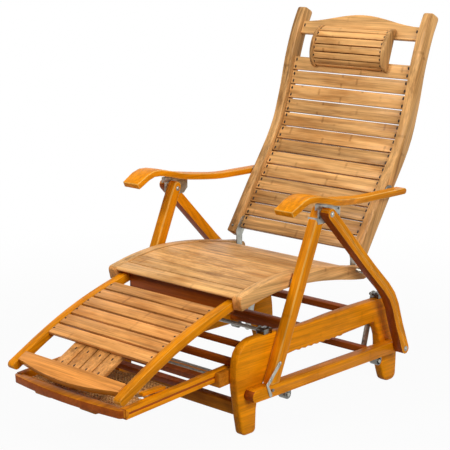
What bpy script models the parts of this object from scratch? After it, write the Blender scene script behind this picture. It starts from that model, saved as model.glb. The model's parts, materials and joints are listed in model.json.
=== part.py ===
"""Folding rocking chair in bamboo: a glider base with a slide-out stool, a carriage on swing
yokes, folding legs, a seat, a reclining slatted back with a headrest, arms and a leg rest.

Metres, +Z up. The sitter faces -Y and the sitter's left is +X. The origin is on the floor,
under the middle of the chair's length. Layout points are (y, z) pairs, with y counted from
near the front edge of the base's front feet.
"""

import math

import bmesh
import bpy
from mathutils import Euler, Vector

# Clearances
FIT = 0.0003
RUN_GAP = 0.002
LAYER_GAP = 0.0006
OPEN_PIVOT_PLAY = 0.0035

# Layers across the chair, from the middle outwards
RAIL_INNER = 0.219
RAIL_THICK = 0.030
BASE_INSET = 0.006
BASE_THICK = 0.028
LEG_THICK = 0.030
REAR_LEG_THICK = 0.029
LEG_SPACE = 0.003
LINK_THICK = 0.004
PLATE_THICK = 0.003
PIN_SINK = 0.004

# Base
BASE_TOP = 0.256
BASE_WAIST = 0.249
ARCH_TOP = 0.186
FOOT_LENGTH = 0.055
REAR_FOOT_START = 0.588
REAR_FOOT_LENGTH = 0.060
SCALLOPS = 8
SCALLOP_START = 0.200
SCALLOP_PITCH = 0.025
SCALLOP_DEPTH = 0.004
BAR_HEIGHT = 0.035
BAR_DEPTH = 0.030
TOP_BAR_DROP = 0.006
FRONT_BAR_Y = 0.004
FRONT_BAR_Z = 0.068
TOP_BAR_FRONT_Y = 0.245
TOP_BAR_REAR_Y = 0.470

# Glider
ROD_RADIUS = 0.005
ROD_SIDES = 16
LINK_WIDTH = 0.022
GLIDER_MIDDLE = 0.3275
UPPER_SPAN = 0.487
LOWER_SPAN = 0.393
SADDLE_LENGTH = 0.032
SADDLE_HEIGHT = 0.013
LUG_RADIUS = 0.0125
LUG_DROP = 0.010
LUG_SINK = 0.006
LUG_INSET = 0.003

# Carriage and legs
RAIL_FRONT = 0.006
RAIL_Z = 0.112
RAIL_WIDTH = 0.032
REAR_PIVOT_Y = 0.603
APEX_Y = 0.260
APEX_RADIUS = 0.0145
LEG_TOP_GAP = 0.005
LEG_SHOULDER = 0.9
FRONT_FOOT_Y = 0.077
FRONT_LEG_WIDTH = 0.032
KNEE_Y = 0.5325
KNEE_Z = 0.2815
REAR_LEG_WIDTH = 0.030
PIN_RADIUS = 0.006
WASHER_RADIUS = 0.009
RAIL_WASHER_RADIUS = 0.012
HOOK_SETBACK = 0.015
HOOK_RISE = 0.054
HOOK_REACH = 0.048
HOOK_DROP = 0.050
HOOK_CURL = 0.013
HOOK_TIP_DROP = 0.029
HOOK_WIDTH = 0.010
HOOK_PIN_RADIUS = 0.004
HOOK_PIN_REACH = 0.005

# Seat
SEAT_Z = 0.376
SEAT_FRONT = -0.016
SEAT_REAR = 0.492
SEAT_RAIL_WIDTH = 0.036
SEAT_DIP = 0.032
SEAT_PIN_DROP = 0.018
SEAT_PANEL_THICK = 0.010
SEAT_PANEL_INSET = 0.060
SEAT_SLAT_GAP = 0.006
FRONT_SLAT_LENGTH = 0.042

# Back
BACK_SETBACK = 0.012
BACK_SEAT_GAP = 0.010
BACK_HEIGHT = 0.650
BACK_RAIL_WIDTH = 0.040
BACK_RAIL_TAIL = 0.008
BACK_SLATS = 13
BACK_SLAT_FIRST = 0.034
BACK_SLAT_GAP = 0.0038
BACK_SLAT_THICK = 0.014
HINGE_LENGTH = 0.038
HINGE_WIDTH = 0.030
HINGE_TONGUE_LENGTH = 0.0345
HINGE_TONGUE_WIDTH = 0.024
CREST_SETBACK = 0.062
CREST_WINDOW = 0.112
CREST_END_HEIGHT = 0.040
CREST_RISE = 0.028
CREST_THICK = 0.016
HEADREST_HALF = 0.139
HEADREST_HEIGHT = 0.130
HEADREST_DEPTH = 0.038
HEADREST_END_THICK = 0.014
HEADREST_SLATS = 8
HEADREST_INSET = 0.004
HEADREST_GROOVE = 0.0023

# Arms
ARM_REACH = 0.204
ARM_THICK = 0.0175
ARM_REAR_WIDTH = 0.032
ARM_FRONT_WIDTH = 0.066
ARM_LENGTH = 0.488
ARM_RISE = 0.041
ARM_TAIL = 0.030
ARM_NARROW = 0.120
ARM_FLARE = 0.227
ARM_CORNER = 0.030
BRACKET_FORE = 0.022
BRACKET_AFT = 0.070
BRACKET_HEIGHT = 0.040
BRACKET_CHAMFER = 0.015
PIVOT_PLATE_RADIUS = 0.017

# Leg rest and stool
LEGREST_SETBACK = 0.022
LEGREST_UNDER = 0.031
LEGREST_HEEL = 0.0174
LEGREST_THICK = 0.025
LEGREST_WIDTH = 0.022
LEGREST_LENGTH = 0.3955
LEGREST_DROP = 0.162
LEGREST_BOW = 0.018
LEGREST_SLATS = 6
LEGREST_SLAT_FIRST = 0.090
LEGREST_SLAT_PITCH = 0.043
LEGREST_SLAT_GAP = 0.006
LEGREST_SLAT_THICK = 0.010
FOOT_SLATS = 4
FOOT_SLAT_PITCH = 0.046
FOOT_SLAT_GAP = 0.005
FOOT_SLAT_THICK = 0.010
FOOT_SLAT_SINK = 0.001
FRONT_PIECE_DEPTH = 0.030
FRONT_PIECE_BOW = 0.022
FRONT_PIECE_THICK = 0.017
FRONT_PIECE_SETBACK = 0.027
STOOL_SLOPE = math.radians(3.6)
STOOL_Y = -0.045
STOOL_Z = 0.166
STOOL_OUTER = 0.208
STOOL_RAIL_THICK = 0.020
STOOL_RAIL_HEIGHT = 0.026
STOOL_FRONT = -0.332
STOOL_BACK = 0.105
STOOL_BOARD_HEIGHT = 0.020
STOOL_BOARD_THICK = 0.018
STOOL_BOARD_LOW = 0.008
STOOL_BOARD_BOW = 0.015
STOOL_BAR_DEPTH = 0.022
STOOL_BAR_HEIGHT = 0.014
STOOL_BARS = (-0.105, -0.047)
GUIDE_LENGTH = 0.052
GUIDE_THICK = 0.012
ROLLER_AT = -0.215
ROLLER_RADIUS = 0.013
ROLLER_NECK = 0.007
ROLLER_BEADS = 9
ROLLER_SIDES = 10

# Colour, roughness and metallic value of each finish
HONEY = ((0.72, 0.46, 0.22), 0.45, 0.0)
AMBER = ((0.68, 0.30, 0.045), 0.38, 0.0)
RUSSET = ((0.28, 0.075, 0.022), 0.45, 0.0)
STEEL = ((0.62, 0.62, 0.60), 0.32, 1.0)

for old in list(bpy.data.objects):
    bpy.data.objects.remove(old, do_unlink=True)

PARTS = bpy.data.collections.new("folding_rocking_chair")
CUTTERS = bpy.data.collections.new("cutters")
bpy.context.scene.collection.children.link(PARTS)
bpy.context.scene.collection.children.link(CUTTERS)


# Points and outlines in the (y, z) plane

def between(a, b, t):
    return (a[0] + (b[0] - a[0]) * t, a[1] + (b[1] - a[1]) * t)


def smooth(points, steps):
    """Points along a smooth curve through the given ones."""
    ends = [between(points[1], points[0], 2.0)] + list(points) + [between(points[-2], points[-1], 2.0)]
    found = []
    for k in range(1, len(ends) - 2):
        a, b, c, d = ends[k - 1:k + 3]
        for s in range(steps):
            t = s / steps
            found.append(tuple(
                0.5 * (2 * b[i] + (c[i] - a[i]) * t + (2 * a[i] - 5 * b[i] + 4 * c[i] - d[i]) * t * t
                       + (3 * b[i] - a[i] - 3 * c[i] + d[i]) * t ** 3) for i in (0, 1)))
    found.append(tuple(points[-1]))
    return found


def path_length(path):
    return sum(math.dist(a, b) for a, b in zip(path, path[1:]))


def along(path, distance):
    """The point and the unit direction at a distance along a path, on past its ends too."""
    left = distance
    for k in range(len(path) - 1):
        a, b = path[k], path[k + 1]
        step = math.dist(a, b)
        if left <= step or k == len(path) - 2:
            return between(a, b, left / step), ((b[0] - a[0]) / step, (b[1] - a[1]) / step)
        left -= step


def at_y(path, y):
    """The point of a path at one y, where y only grows or only falls along the path."""
    for a, b in zip(path, path[1:]):
        if min(a[0], b[0]) <= y <= max(a[0], b[0]):
            return between(a, b, (y - a[0]) / (b[0] - a[0]))
    return min((path[0], path[-1]), key=lambda end: abs(end[0] - y))


def shifted(path, offset):
    """A path moved sideways: positive is to the left of its direction."""
    moved = []
    for k, p in enumerate(path):
        a = path[max(k - 1, 0)]
        b = path[min(k + 1, len(path) - 1)]
        size = math.dist(a, b)
        moved.append((p[0] - (b[1] - a[1]) / size * offset, p[1] + (b[0] - a[0]) / size * offset))
    return moved


def arc(centre, start, end, count):
    """Points from start round the centre to just before end, turning clockwise."""
    first = math.atan2(start[1] - centre[1], start[0] - centre[0])
    last = math.atan2(end[1] - centre[1], end[0] - centre[0])
    turn = (first - last) % (2 * math.pi)
    radius = math.dist(centre, start)
    return [(centre[0] + radius * math.cos(first - turn * k / count),
             centre[1] + radius * math.sin(first - turn * k / count)) for k in range(1, count)]


def ribbon(path, width, round_start=True, round_end=True, round_steps=6):
    """The outline of a strip of one width along a path, with round or square ends."""
    left = shifted(path, width / 2)
    right = shifted(path, -width / 2)
    outline = left[:]
    if round_end:
        outline += arc(path[-1], left[-1], right[-1], round_steps)
    outline += right[::-1]
    if round_start:
        outline += arc(path[0], right[0], left[0], round_steps)
    return outline


def ring(centre, radius, count=ROD_SIDES):
    return [(centre[0] + radius * math.cos(2 * math.pi * k / count),
             centre[1] + radius * math.sin(2 * math.pi * k / count)) for k in range(count)]


# Objects

def material(name, look):
    made = bpy.data.materials.get(name)
    if made is None:
        made = bpy.data.materials.new(name)
        made.use_nodes = True
        shader = made.node_tree.nodes["Principled BSDF"]
        shader.inputs["Base Color"].default_value = (*look[0], 1.0)
        shader.inputs["Roughness"].default_value = look[1]
        shader.inputs["Metallic"].default_value = look[2]
    return made


BODIES = {}


def body(name, pivot, parent=None, tilt=0.0):
    """An empty on a body's joint axis; its pieces are parented to it."""
    empty = bpy.data.objects.new(name + "_body", None)
    empty.empty_display_size = 0.02
    PARTS.objects.link(empty)
    home = Vector((0.0, pivot[0], pivot[1]))
    offset = home.copy()
    if parent:
        empty.parent = BODIES[parent][0]
        offset -= BODIES[parent][1]
        offset.rotate(Euler((-empty.parent.rotation_euler.x, 0.0, 0.0)))
    empty.location = offset
    empty.rotation_euler = (tilt, 0.0, 0.0)
    BODIES[name] = (empty, home)
    return empty


def place(obj, owner, look, helper=False):
    obj.parent = BODIES[owner][0]
    if helper:
        CUTTERS.objects.link(obj)
        obj.hide_render = True
        obj.display_type = "WIRE"
    else:
        PARTS.objects.link(obj)
        obj.data.materials.append(material(obj.name, look))
    return obj


def welded(curve_object):
    """A mesh copy of a filled curve, with its caps joined to its sides."""
    bpy.context.scene.collection.objects.link(curve_object)
    graph = bpy.context.evaluated_depsgraph_get()
    mesh = bpy.data.meshes.new_from_object(curve_object.evaluated_get(graph))
    work = bmesh.new()
    work.from_mesh(mesh)
    bmesh.ops.remove_doubles(work, verts=work.verts, dist=0.00001)
    bmesh.ops.recalc_face_normals(work, faces=work.faces)
    bmesh.ops.dissolve_limit(work, angle_limit=0.001, verts=work.verts, edges=work.edges)
    work.to_mesh(mesh)
    work.free()
    curve = curve_object.data
    bpy.data.objects.remove(curve_object)
    bpy.data.curves.remove(curve)
    return mesh


def flat_mesh(name, outlines, thickness):
    """A flat outline, with any holes as further outlines, given a thickness."""
    curve = bpy.data.curves.new(name, "CURVE")
    curve.dimensions = "2D"
    curve.fill_mode = "BOTH"
    curve.extrude = thickness / 2
    for outline in outlines:
        spline = curve.splines.new("POLY")
        spline.points.add(len(outline) - 1)
        for point, (u, v) in zip(spline.points, outline):
            point.co = (u, v, 0.0, 1.0)
        spline.use_cyclic_u = True
    mesh = welded(bpy.data.objects.new(name, curve))
    mesh.name = name
    return mesh


def board(name, owner, outline, x_range, look, holes=(), helper=False):
    """A board that lies in the chair's side plane, between two distances across the chair."""
    pivot = BODIES[owner][1]
    loops = [[(y - pivot.y, z - pivot.z) for y, z in loop] for loop in (outline, *holes)]
    mesh = flat_mesh(name, loops, abs(x_range[1] - x_range[0]))
    obj = bpy.data.objects.new(name, mesh)
    obj.rotation_euler = (math.pi / 2, 0.0, math.pi / 2)
    obj.location = ((x_range[0] + x_range[1]) / 2, 0.0, 0.0)
    return place(obj, owner, look, helper)


def box(name, owner, size, centre, look, turn=0.0, helper=False, local=False):
    """A block centred at (x, y, z), turned about X."""
    mesh = bpy.data.meshes.new(name)
    work = bmesh.new()
    bmesh.ops.create_cube(work, size=1.0)
    bmesh.ops.scale(work, vec=size, verts=work.verts)
    work.to_mesh(mesh)
    work.free()
    obj = bpy.data.objects.new(name, mesh)
    obj.location = Vector(centre) if local else Vector(centre) - BODIES[owner][1]
    obj.rotation_euler = (turn, 0.0, 0.0)
    return place(obj, owner, look, helper)


def rod(name, owner, point, x_range, radius, look, helper=False):
    """A round bar across the chair."""
    mesh = bpy.data.meshes.new(name)
    work = bmesh.new()
    bmesh.ops.create_cone(work, cap_ends=True, segments=ROD_SIDES, radius1=radius, radius2=radius,
                          depth=abs(x_range[1] - x_range[0]))
    work.to_mesh(mesh)
    work.free()
    mesh.shade_smooth()
    mesh.set_sharp_from_angle(angle=math.radians(40))
    obj = bpy.data.objects.new(name, mesh)
    obj.location = Vector(((x_range[0] + x_range[1]) / 2, point[0], point[1])) - BODIES[owner][1]
    obj.rotation_euler = (0.0, math.pi / 2, 0.0)
    return place(obj, owner, look, helper)


def combine(target, tools, operation="UNION", solver="EXACT"):
    for tool in tools:
        step = target.modifiers.new(tool.name, "BOOLEAN")
        step.operation = operation
        step.solver = solver
        step.object = tool
    return target


def span(side, near, far):
    return (side * near, side * far)


# Layers worked out from the sizes
SIDES = tuple((label, (-1) ** k) for k, label in enumerate(("left", "right")))
RAIL_OUTER = RAIL_INNER + RAIL_THICK
BASE_INNER = RAIL_INNER + BASE_INSET
BASE_OUTER = BASE_INNER + BASE_THICK
ARM_INNER = RAIL_OUTER + LAYER_GAP + PLATE_THICK + LAYER_GAP
LEG_IN = max(BASE_OUTER, RAIL_OUTER) + RUN_GAP
LEG_OUT = LEG_IN + LEG_THICK
REAR_LEG_IN = LEG_OUT + LEG_SPACE
REAR_LEG_OUT = REAR_LEG_IN + REAR_LEG_THICK
LINK_IN = BASE_INNER - RUN_GAP - LINK_THICK

# Pivots of the glider
UPPER_Z = BASE_TOP + FIT + ROD_RADIUS
UPPER_FRONT = (GLIDER_MIDDLE - UPPER_SPAN / 2, UPPER_Z)
UPPER_REAR = (GLIDER_MIDDLE + UPPER_SPAN / 2, UPPER_Z)
LOWER_Z = RAIL_Z - RAIL_WIDTH / 2 - LUG_DROP
LOWER_FRONT = (GLIDER_MIDDLE - LOWER_SPAN / 2, LOWER_Z)
LOWER_REAR = (GLIDER_MIDDLE + LOWER_SPAN / 2, LOWER_Z)

# The back's curve, given for a back of unit height
BACK_CURVE = ((0.0, 0.0), (0.131, 0.2015), (0.288, 0.437), (0.352, 0.605), (0.395, 0.772),
              (0.443, 0.908), (0.489, 1.0))
BACK_PIVOT = (SEAT_REAR - BACK_SETBACK,
              SEAT_Z - SEAT_DIP + (SEAT_RAIL_WIDTH + BACK_RAIL_WIDTH) / 2 + BACK_SEAT_GAP)
BACK_PATH = smooth([(BACK_PIVOT[0] + y * BACK_HEIGHT, BACK_PIVOT[1] + z * BACK_HEIGHT)
                    for y, z in BACK_CURVE], 4)
CREST_AT = path_length(BACK_PATH) - CREST_SETBACK
BACK_SLAT_PITCH = (CREST_AT - CREST_WINDOW - BACK_SLAT_FIRST) / (BACK_SLATS - 1)
BACK_SLAT_WIDTH = BACK_SLAT_PITCH - BACK_SLAT_GAP

# The arm's curve: shares of its length ahead of its pivot, and of its rise above the pivot
ARM_PIVOT = along(BACK_PATH, ARM_REACH)[0]
ARM_CURVE = ((0.0, 0.0), (0.18, 0.01), (0.357, 0.07), (0.616, 0.44), (0.723, 0.76), (0.871, 1.0), (1.0, 0.30))
ARM_PATH = smooth([(ARM_PIVOT[0] + ARM_TAIL, ARM_PIVOT[1])]
                  + [(ARM_PIVOT[0] - t * ARM_LENGTH, ARM_PIVOT[1] + z * ARM_RISE) for t, z in ARM_CURVE], 3)
ARM_UNDERSIDE = shifted(ARM_PATH, ARM_THICK / 2)

# The legs meet at the apex, just under the arms.
LEG_TOP_RADIUS = max(APEX_RADIUS, REAR_LEG_WIDTH / 2)
LEG_TOP = min(at_y(ARM_UNDERSIDE, APEX_Y + t * LEG_TOP_RADIUS)[1] for t in (-1.0, 0.0, 1.0)) - LEG_TOP_GAP
APEX = (APEX_Y, LEG_TOP - LEG_TOP_RADIUS)
KNEE = (KNEE_Y, KNEE_Z)
REAR_PIVOT = (REAR_PIVOT_Y, RAIL_Z)
FRONT_FOOT = (FRONT_FOOT_Y, RAIL_Z + RAIL_WIDTH / 2 + FIT)
SEAT_ON_FRONT = between(FRONT_FOOT, APEX, (SEAT_Z - FRONT_FOOT[1]) / (APEX[1] - FRONT_FOOT[1]))
SEAT_ON_REAR = between(APEX, KNEE, (APEX[1] - SEAT_Z + SEAT_PIN_DROP) / (APEX[1] - KNEE[1]))
HOOK_TOP = (FRONT_FOOT[0] + HOOK_SETBACK, FRONT_FOOT[1] + HOOK_RISE)
HOOK_KINK = (HOOK_TOP[0] - HOOK_REACH, HOOK_TOP[1] - HOOK_DROP)
HOOK_TIP = (HOOK_KINK[0] + HOOK_CURL, HOOK_KINK[1] - HOOK_TIP_DROP)

# The seat's curve: shares of its length from the front, and of its dip from the seat's height
SEAT_CURVE = ((0.0, -0.75), (0.17, -0.156), (0.37, 0.156), (0.58, 0.0), (0.76, -0.375), (0.90, -0.78),
              (1.0, -1.0))
SEAT_LENGTH = SEAT_REAR - SEAT_FRONT
SEAT_PATH = smooth([(SEAT_FRONT + t * SEAT_LENGTH, SEAT_Z + z * SEAT_DIP) for t, z in SEAT_CURVE], 3)
LEGREST_PIVOT = (SEAT_FRONT + LEGREST_SETBACK, SEAT_Z - LEGREST_UNDER)
LEGREST_PATH = smooth([(LEGREST_PIVOT[0] - LEGREST_LENGTH * t,
                        LEGREST_PIVOT[1] - LEGREST_DROP * t + LEGREST_BOW * math.sin(math.pi * t))
                       for t in (-LEGREST_HEEL / LEGREST_LENGTH, 0.0, 0.2, 0.4, 0.6, 0.8, 1.0)], 2)
LEGREST_TOP = shifted(LEGREST_PATH, -(LEGREST_WIDTH - LEGREST_SLAT_THICK) / 2)
FRONT_PIECE_AT, FRONT_PIECE_WAY = along(LEGREST_TOP, path_length(LEGREST_TOP) - FRONT_PIECE_SETBACK)
FRONT_PIECE_SLOPE = math.atan2(-FRONT_PIECE_WAY[1], -FRONT_PIECE_WAY[0])
STOOL_AT = (STOOL_Y, STOOL_Z)
ROLLER_SPOT = (STOOL_Y + math.cos(STOOL_SLOPE) * ROLLER_AT, STOOL_Z + math.sin(STOOL_SLOPE) * ROLLER_AT)

# The chair's origin is under the middle of its length.
LENGTH_ENDS = [y for y, _ in ribbon(BACK_PATH, BACK_RAIL_WIDTH, round_end=False)]
LENGTH_ENDS += [FRONT_PIECE_AT[0] - math.cos(FRONT_PIECE_SLOPE) * (FRONT_PIECE_DEPTH / 2 + FRONT_PIECE_BOW)
                - math.sin(FRONT_PIECE_SLOPE) * FRONT_PIECE_THICK / 2]
body("chair", (0.0, 0.0))
BODIES["chair"][0].location = (0.0, -(min(LENGTH_ENDS) + max(LENGTH_ENDS)) / 2, 0.0)
body("base", (0.0, 0.0), "chair")
body("front_yoke", UPPER_FRONT, "base")
body("rear_yoke", UPPER_REAR, "base")
body("carriage", LOWER_FRONT, "front_yoke")
body("rear_legs", REAR_PIVOT, "carriage")
body("seat", SEAT_ON_REAR, "rear_legs")
body("front_legs", SEAT_ON_FRONT, "seat")
body("back_hinges", BACK_PIVOT, "seat")
body("back", BACK_PIVOT, "back_hinges")
body("arm_pivots", ARM_PIVOT, "back")
body("arms", ARM_PIVOT, "arm_pivots")
body("legrest", LEGREST_PIVOT, "seat")
body("track", STOOL_AT, "base", STOOL_SLOPE)
body("stool", STOOL_AT, "base", STOOL_SLOPE)
body("roller", ROLLER_SPOT, "stool")
body("hook_left", HOOK_TOP, "front_legs")
body("hook_right", HOOK_TOP, "front_legs")


def base_outline():
    """A side of the base: two feet and an arch, with flats on top where the saddles sit."""
    rear_end = REAR_FOOT_START + REAR_FOOT_LENGTH
    front_flat = (UPPER_FRONT[0] - SADDLE_LENGTH, UPPER_FRONT[0] + SADDLE_LENGTH)
    rear_flat = (TOP_BAR_REAR_Y - BAR_DEPTH, UPPER_REAR[0] + 0.65 * SADDLE_LENGTH)
    toe = ((-0.2, 0.0), (-0.47, 0.30), (-0.67, 0.62), (-0.47, 0.88), (0.22, 0.985))
    outline = smooth([(y * FOOT_LENGTH, z * BASE_TOP) for y, z in toe] + [(front_flat[0], BASE_TOP)], 3)
    ends = ((front_flat[1], BASE_TOP), (rear_flat[0], BASE_TOP))
    outline += smooth([ends[0], (between(*ends, 0.36)[0], BASE_WAIST),
                       (between(*ends, 0.71)[0], BASE_TOP - 0.3 * (BASE_TOP - BASE_WAIST)), ends[1]], 3)
    heel = ((-0.43, 0.88), (-0.1, 0.60), (0.0, 0.32), (-0.05, 0.0))
    outline += smooth([(rear_flat[1], BASE_TOP)]
                      + [(rear_end + y * REAR_FOOT_LENGTH, z * BASE_TOP) for y, z in heel], 3)
    rear_arch = ((0.1, 0.0), (-0.33, 0.41), (-0.43, 0.78), (-0.83, 1.03))
    outline += smooth([(REAR_FOOT_START + y * REAR_FOOT_LENGTH, z * ARCH_TOP) for y, z in rear_arch], 3)
    outline += [(SCALLOP_START + SCALLOP_PITCH * k / 2, ARCH_TOP - (SCALLOP_DEPTH if k % 2 else 0.0))
                for k in range(2 * SCALLOPS, -1, -1)]
    front_arch = ((2.55, 0.97), (1.55, 0.785), (0.82, 0.48), (0.69, 0.0))
    outline += smooth([(y * FOOT_LENGTH, z * ARCH_TOP) for y, z in front_arch], 3)
    return outline


def build_base():
    outline = base_outline()
    for label, side in SIDES:
        board("base_side_" + label, "base", outline, span(side, BASE_INNER, BASE_OUTER), AMBER)
    width = 2 * (BASE_INNER - FIT)
    top_bar_z = BASE_WAIST - TOP_BAR_DROP - BAR_HEIGHT / 2
    for name, y, z in (("base_front_bar", FRONT_BAR_Y, FRONT_BAR_Z),
                       ("base_top_bar_front", TOP_BAR_FRONT_Y, top_bar_z),
                       ("base_top_bar_rear", TOP_BAR_REAR_Y, top_bar_z)):
        box(name, "base", (width, BAR_DEPTH, BAR_HEIGHT), (0.0, y, z), RUSSET)


def build_glider():
    for name, owner, top, foot in (("front", "front_yoke", UPPER_FRONT, LOWER_FRONT),
                                   ("rear", "rear_yoke", UPPER_REAR, LOWER_REAR)):
        axle = rod(name + "_pivot_rod", "base", top, (-BASE_OUTER, BASE_OUTER), ROD_RADIUS, STEEL)
        saddles = []
        for label, side in SIDES:
            x = side * (BASE_INNER + BASE_THICK / 2)
            saddles.append(box(f"{name}_saddle_{label}", "base",
                               (BASE_THICK - RUN_GAP, SADDLE_LENGTH, SADDLE_HEIGHT),
                               (x, top[0], BASE_TOP + FIT + SADDLE_HEIGHT / 2), STEEL, helper=True))
        combine(axle, saddles)
        yoke = rod(name + "_swing_yoke", owner, foot, (-LEG_OUT, LEG_OUT), ROD_RADIUS, STEEL)
        links = []
        hole = ring(top, (ROD_RADIUS + FIT) / math.cos(math.pi / ROD_SIDES))
        for label, side in SIDES:
            links.append(board(f"{name}_link_{label}", owner, ribbon([top, foot], LINK_WIDTH),
                               span(side, LINK_IN, LINK_IN + LINK_THICK), STEEL, [hole], helper=True))
        combine(yoke, links)


def build_carriage():
    lug_top = RAIL_Z - RAIL_WIDTH / 2 + LUG_SINK
    hook_pin = (HOOK_TIP[0] + HOOK_WIDTH / 2 + HOOK_PIN_RADIUS / 2, RAIL_Z + HOOK_PIN_RADIUS)
    for label, side in SIDES:
        rail = board("lower_rail_" + label, "carriage",
                     ribbon([(RAIL_FRONT, RAIL_Z), REAR_PIVOT], RAIL_WIDTH),
                     span(side, LEG_IN, LEG_OUT), AMBER)
        extras = []
        for where, spot, play in (("front", LOWER_FRONT, FIT), ("rear", LOWER_REAR, OPEN_PIVOT_PLAY)):
            lug = ribbon([(spot[0], lug_top), spot], 2 * LUG_RADIUS, round_start=False)
            hole = ring(spot, (ROD_RADIUS + play) / math.cos(math.pi / ROD_SIDES))
            extras.append(board(f"{where}_lug_{label}", "carriage", lug,
                                span(side, LEG_IN + LUG_INSET, LEG_OUT - LUG_INSET), STEEL, [hole],
                                helper=True))
        extras.append(rod("hook_pin_" + label, "carriage", hook_pin,
                          span(side, LEG_OUT - PIN_SINK, LEG_OUT + HOOK_PIN_REACH),
                          HOOK_PIN_RADIUS, STEEL, helper=True))
        combine(rail, extras)


def front_leg_outline():
    """A straight leg with a level foot and a narrower round top."""
    rise = APEX[1] - FRONT_FOOT[1]
    half = FRONT_LEG_WIDTH / 2
    foot_half = half * math.dist(FRONT_FOOT, APEX) / rise
    left = shifted([FRONT_FOOT, APEX], half)
    right = shifted([FRONT_FOOT, APEX], -half)
    tip = shifted([FRONT_FOOT, APEX], APEX_RADIUS)[1]
    tail = shifted([FRONT_FOOT, APEX], -APEX_RADIUS)[1]
    outline = [(FRONT_FOOT[0] + foot_half, FRONT_FOOT[1]), (FRONT_FOOT[0] - foot_half, FRONT_FOOT[1])]
    outline += [between(*left, LEG_SHOULDER), tip]
    outline += arc(APEX, tip, tail, 8)
    outline += [tail, between(*right, LEG_SHOULDER)]
    return outline


def build_legs():
    path = smooth([APEX, between(APEX, KNEE, 1 / 3), between(APEX, KNEE, 2 / 3), KNEE,
                   between(KNEE, REAR_PIVOT, 0.55), REAR_PIVOT], 3)
    front = front_leg_outline()
    rear = ribbon(path, REAR_LEG_WIDTH)
    hook = ribbon([HOOK_TOP, HOOK_KINK, HOOK_TIP], HOOK_WIDTH)
    for label, side in SIDES:
        board("front_leg_" + label, "front_legs", front, span(side, LEG_IN, LEG_OUT), AMBER)
        leg = board("rear_leg_" + label, "rear_legs", rear, span(side, REAR_LEG_IN, REAR_LEG_OUT), AMBER)
        combine(leg, [rod("rail_washer_" + label, "rear_legs", REAR_PIVOT,
                          span(side, LEG_OUT + FIT, REAR_LEG_IN + PIN_SINK), RAIL_WASHER_RADIUS, STEEL,
                          helper=True)])
        board("lock_hook_" + label, "hook_" + label, hook,
              span(side, LEG_OUT + FIT, LEG_OUT + FIT + PLATE_THICK), STEEL)


def build_seat():
    for label, side in SIDES:
        rail = board("seat_rail_" + label, "seat", ribbon(SEAT_PATH, SEAT_RAIL_WIDTH, False, True),
                     span(side, RAIL_INNER, RAIL_OUTER), HONEY)
        combine(rail, [rod("front_leg_washer_" + label, "seat", SEAT_ON_FRONT,
                           span(side, RAIL_OUTER - PIN_SINK, LEG_IN - FIT), WASHER_RADIUS, STEEL,
                           helper=True),
                       rod("rear_leg_pin_" + label, "seat", SEAT_ON_REAR,
                           span(side, RAIL_OUTER - PIN_SINK, REAR_LEG_IN - FIT), PIN_RADIUS, STEEL,
                           helper=True)])
    top = shifted(SEAT_PATH, SEAT_RAIL_WIDTH / 2 - SEAT_PANEL_THICK / 2)
    reach = RAIL_INNER - FIT
    front = SEAT_FRONT + FRONT_SLAT_LENGTH + SEAT_SLAT_GAP
    rear = SEAT_REAR - SEAT_PANEL_INSET
    panel = [at_y(top, front + (rear - front) * k / 14) for k in range(15)]
    board("seat_panel", "seat", ribbon(panel, SEAT_PANEL_THICK, False, False), (-reach, reach), HONEY)
    first = SEAT_FRONT + SEAT_PANEL_THICK / 2
    slat = [at_y(top, first + (SEAT_FRONT + FRONT_SLAT_LENGTH - first) * k / 3) for k in range(4)]
    board("seat_front_slat", "seat", ribbon(slat, SEAT_PANEL_THICK, True, False, 4), (-reach, reach), HONEY)


def build_back():
    leaf_range = (RAIL_INNER - LAYER_GAP - PLATE_THICK, RAIL_INNER - LAYER_GAP)
    up = along(BACK_PATH, HINGE_LENGTH)[0]
    low = (BACK_PIVOT[0], BACK_PIVOT[1] - HINGE_TONGUE_LENGTH)
    tail = along(BACK_PATH, -BACK_RAIL_TAIL)[0]
    for label, side in SIDES:
        board("back_rail_" + label, "back", ribbon([tail] + BACK_PATH, BACK_RAIL_WIDTH, False, False),
              span(side, RAIL_INNER, RAIL_OUTER), HONEY)
        leaf = board("back_hinge_" + label, "back_hinges", ribbon([BACK_PIVOT, up], HINGE_WIDTH),
                     span(side, *leaf_range), STEEL)
        combine(leaf, [board("back_hinge_tongue_" + label, "back_hinges",
                             ribbon([BACK_PIVOT, low], HINGE_TONGUE_WIDTH), span(side, *leaf_range), STEEL,
                             helper=True)])
    for k in range(BACK_SLATS):
        distance = BACK_SLAT_FIRST + k * BACK_SLAT_PITCH
        beside_hinge = distance < HINGE_LENGTH + HINGE_WIDTH / 2 + BACK_SLAT_WIDTH / 2
        reach = leaf_range[0] - LAYER_GAP if beside_hinge else RAIL_INNER - FIT
        at, way = along(BACK_PATH, distance)
        box(f"back_slat_{k + 1:02d}", "back", (2 * reach, BACK_SLAT_THICK, BACK_SLAT_WIDTH), (0.0, *at),
            HONEY, -math.atan2(way[0], way[1]))


def build_crest():
    reach = RAIL_INNER - FIT
    low = -CREST_END_HEIGHT / 2
    at, way = along(BACK_PATH, CREST_AT)
    outline = [(-reach, low), (reach, low)]
    outline += [(reach * (1 - k / 8), -low + CREST_RISE * 0.5 * (1 - math.cos(math.pi * k / 8)))
                for k in range(17)]
    crest = bpy.data.objects.new("crest_rail", flat_mesh("crest_rail", [outline], CREST_THICK))
    crest.rotation_euler = (math.pi / 2 - math.atan2(way[0], way[1]), 0.0, 0.0)
    crest.location = Vector((0.0, *at)) - BODIES["back"][1]
    place(crest, "back", HONEY)


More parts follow.
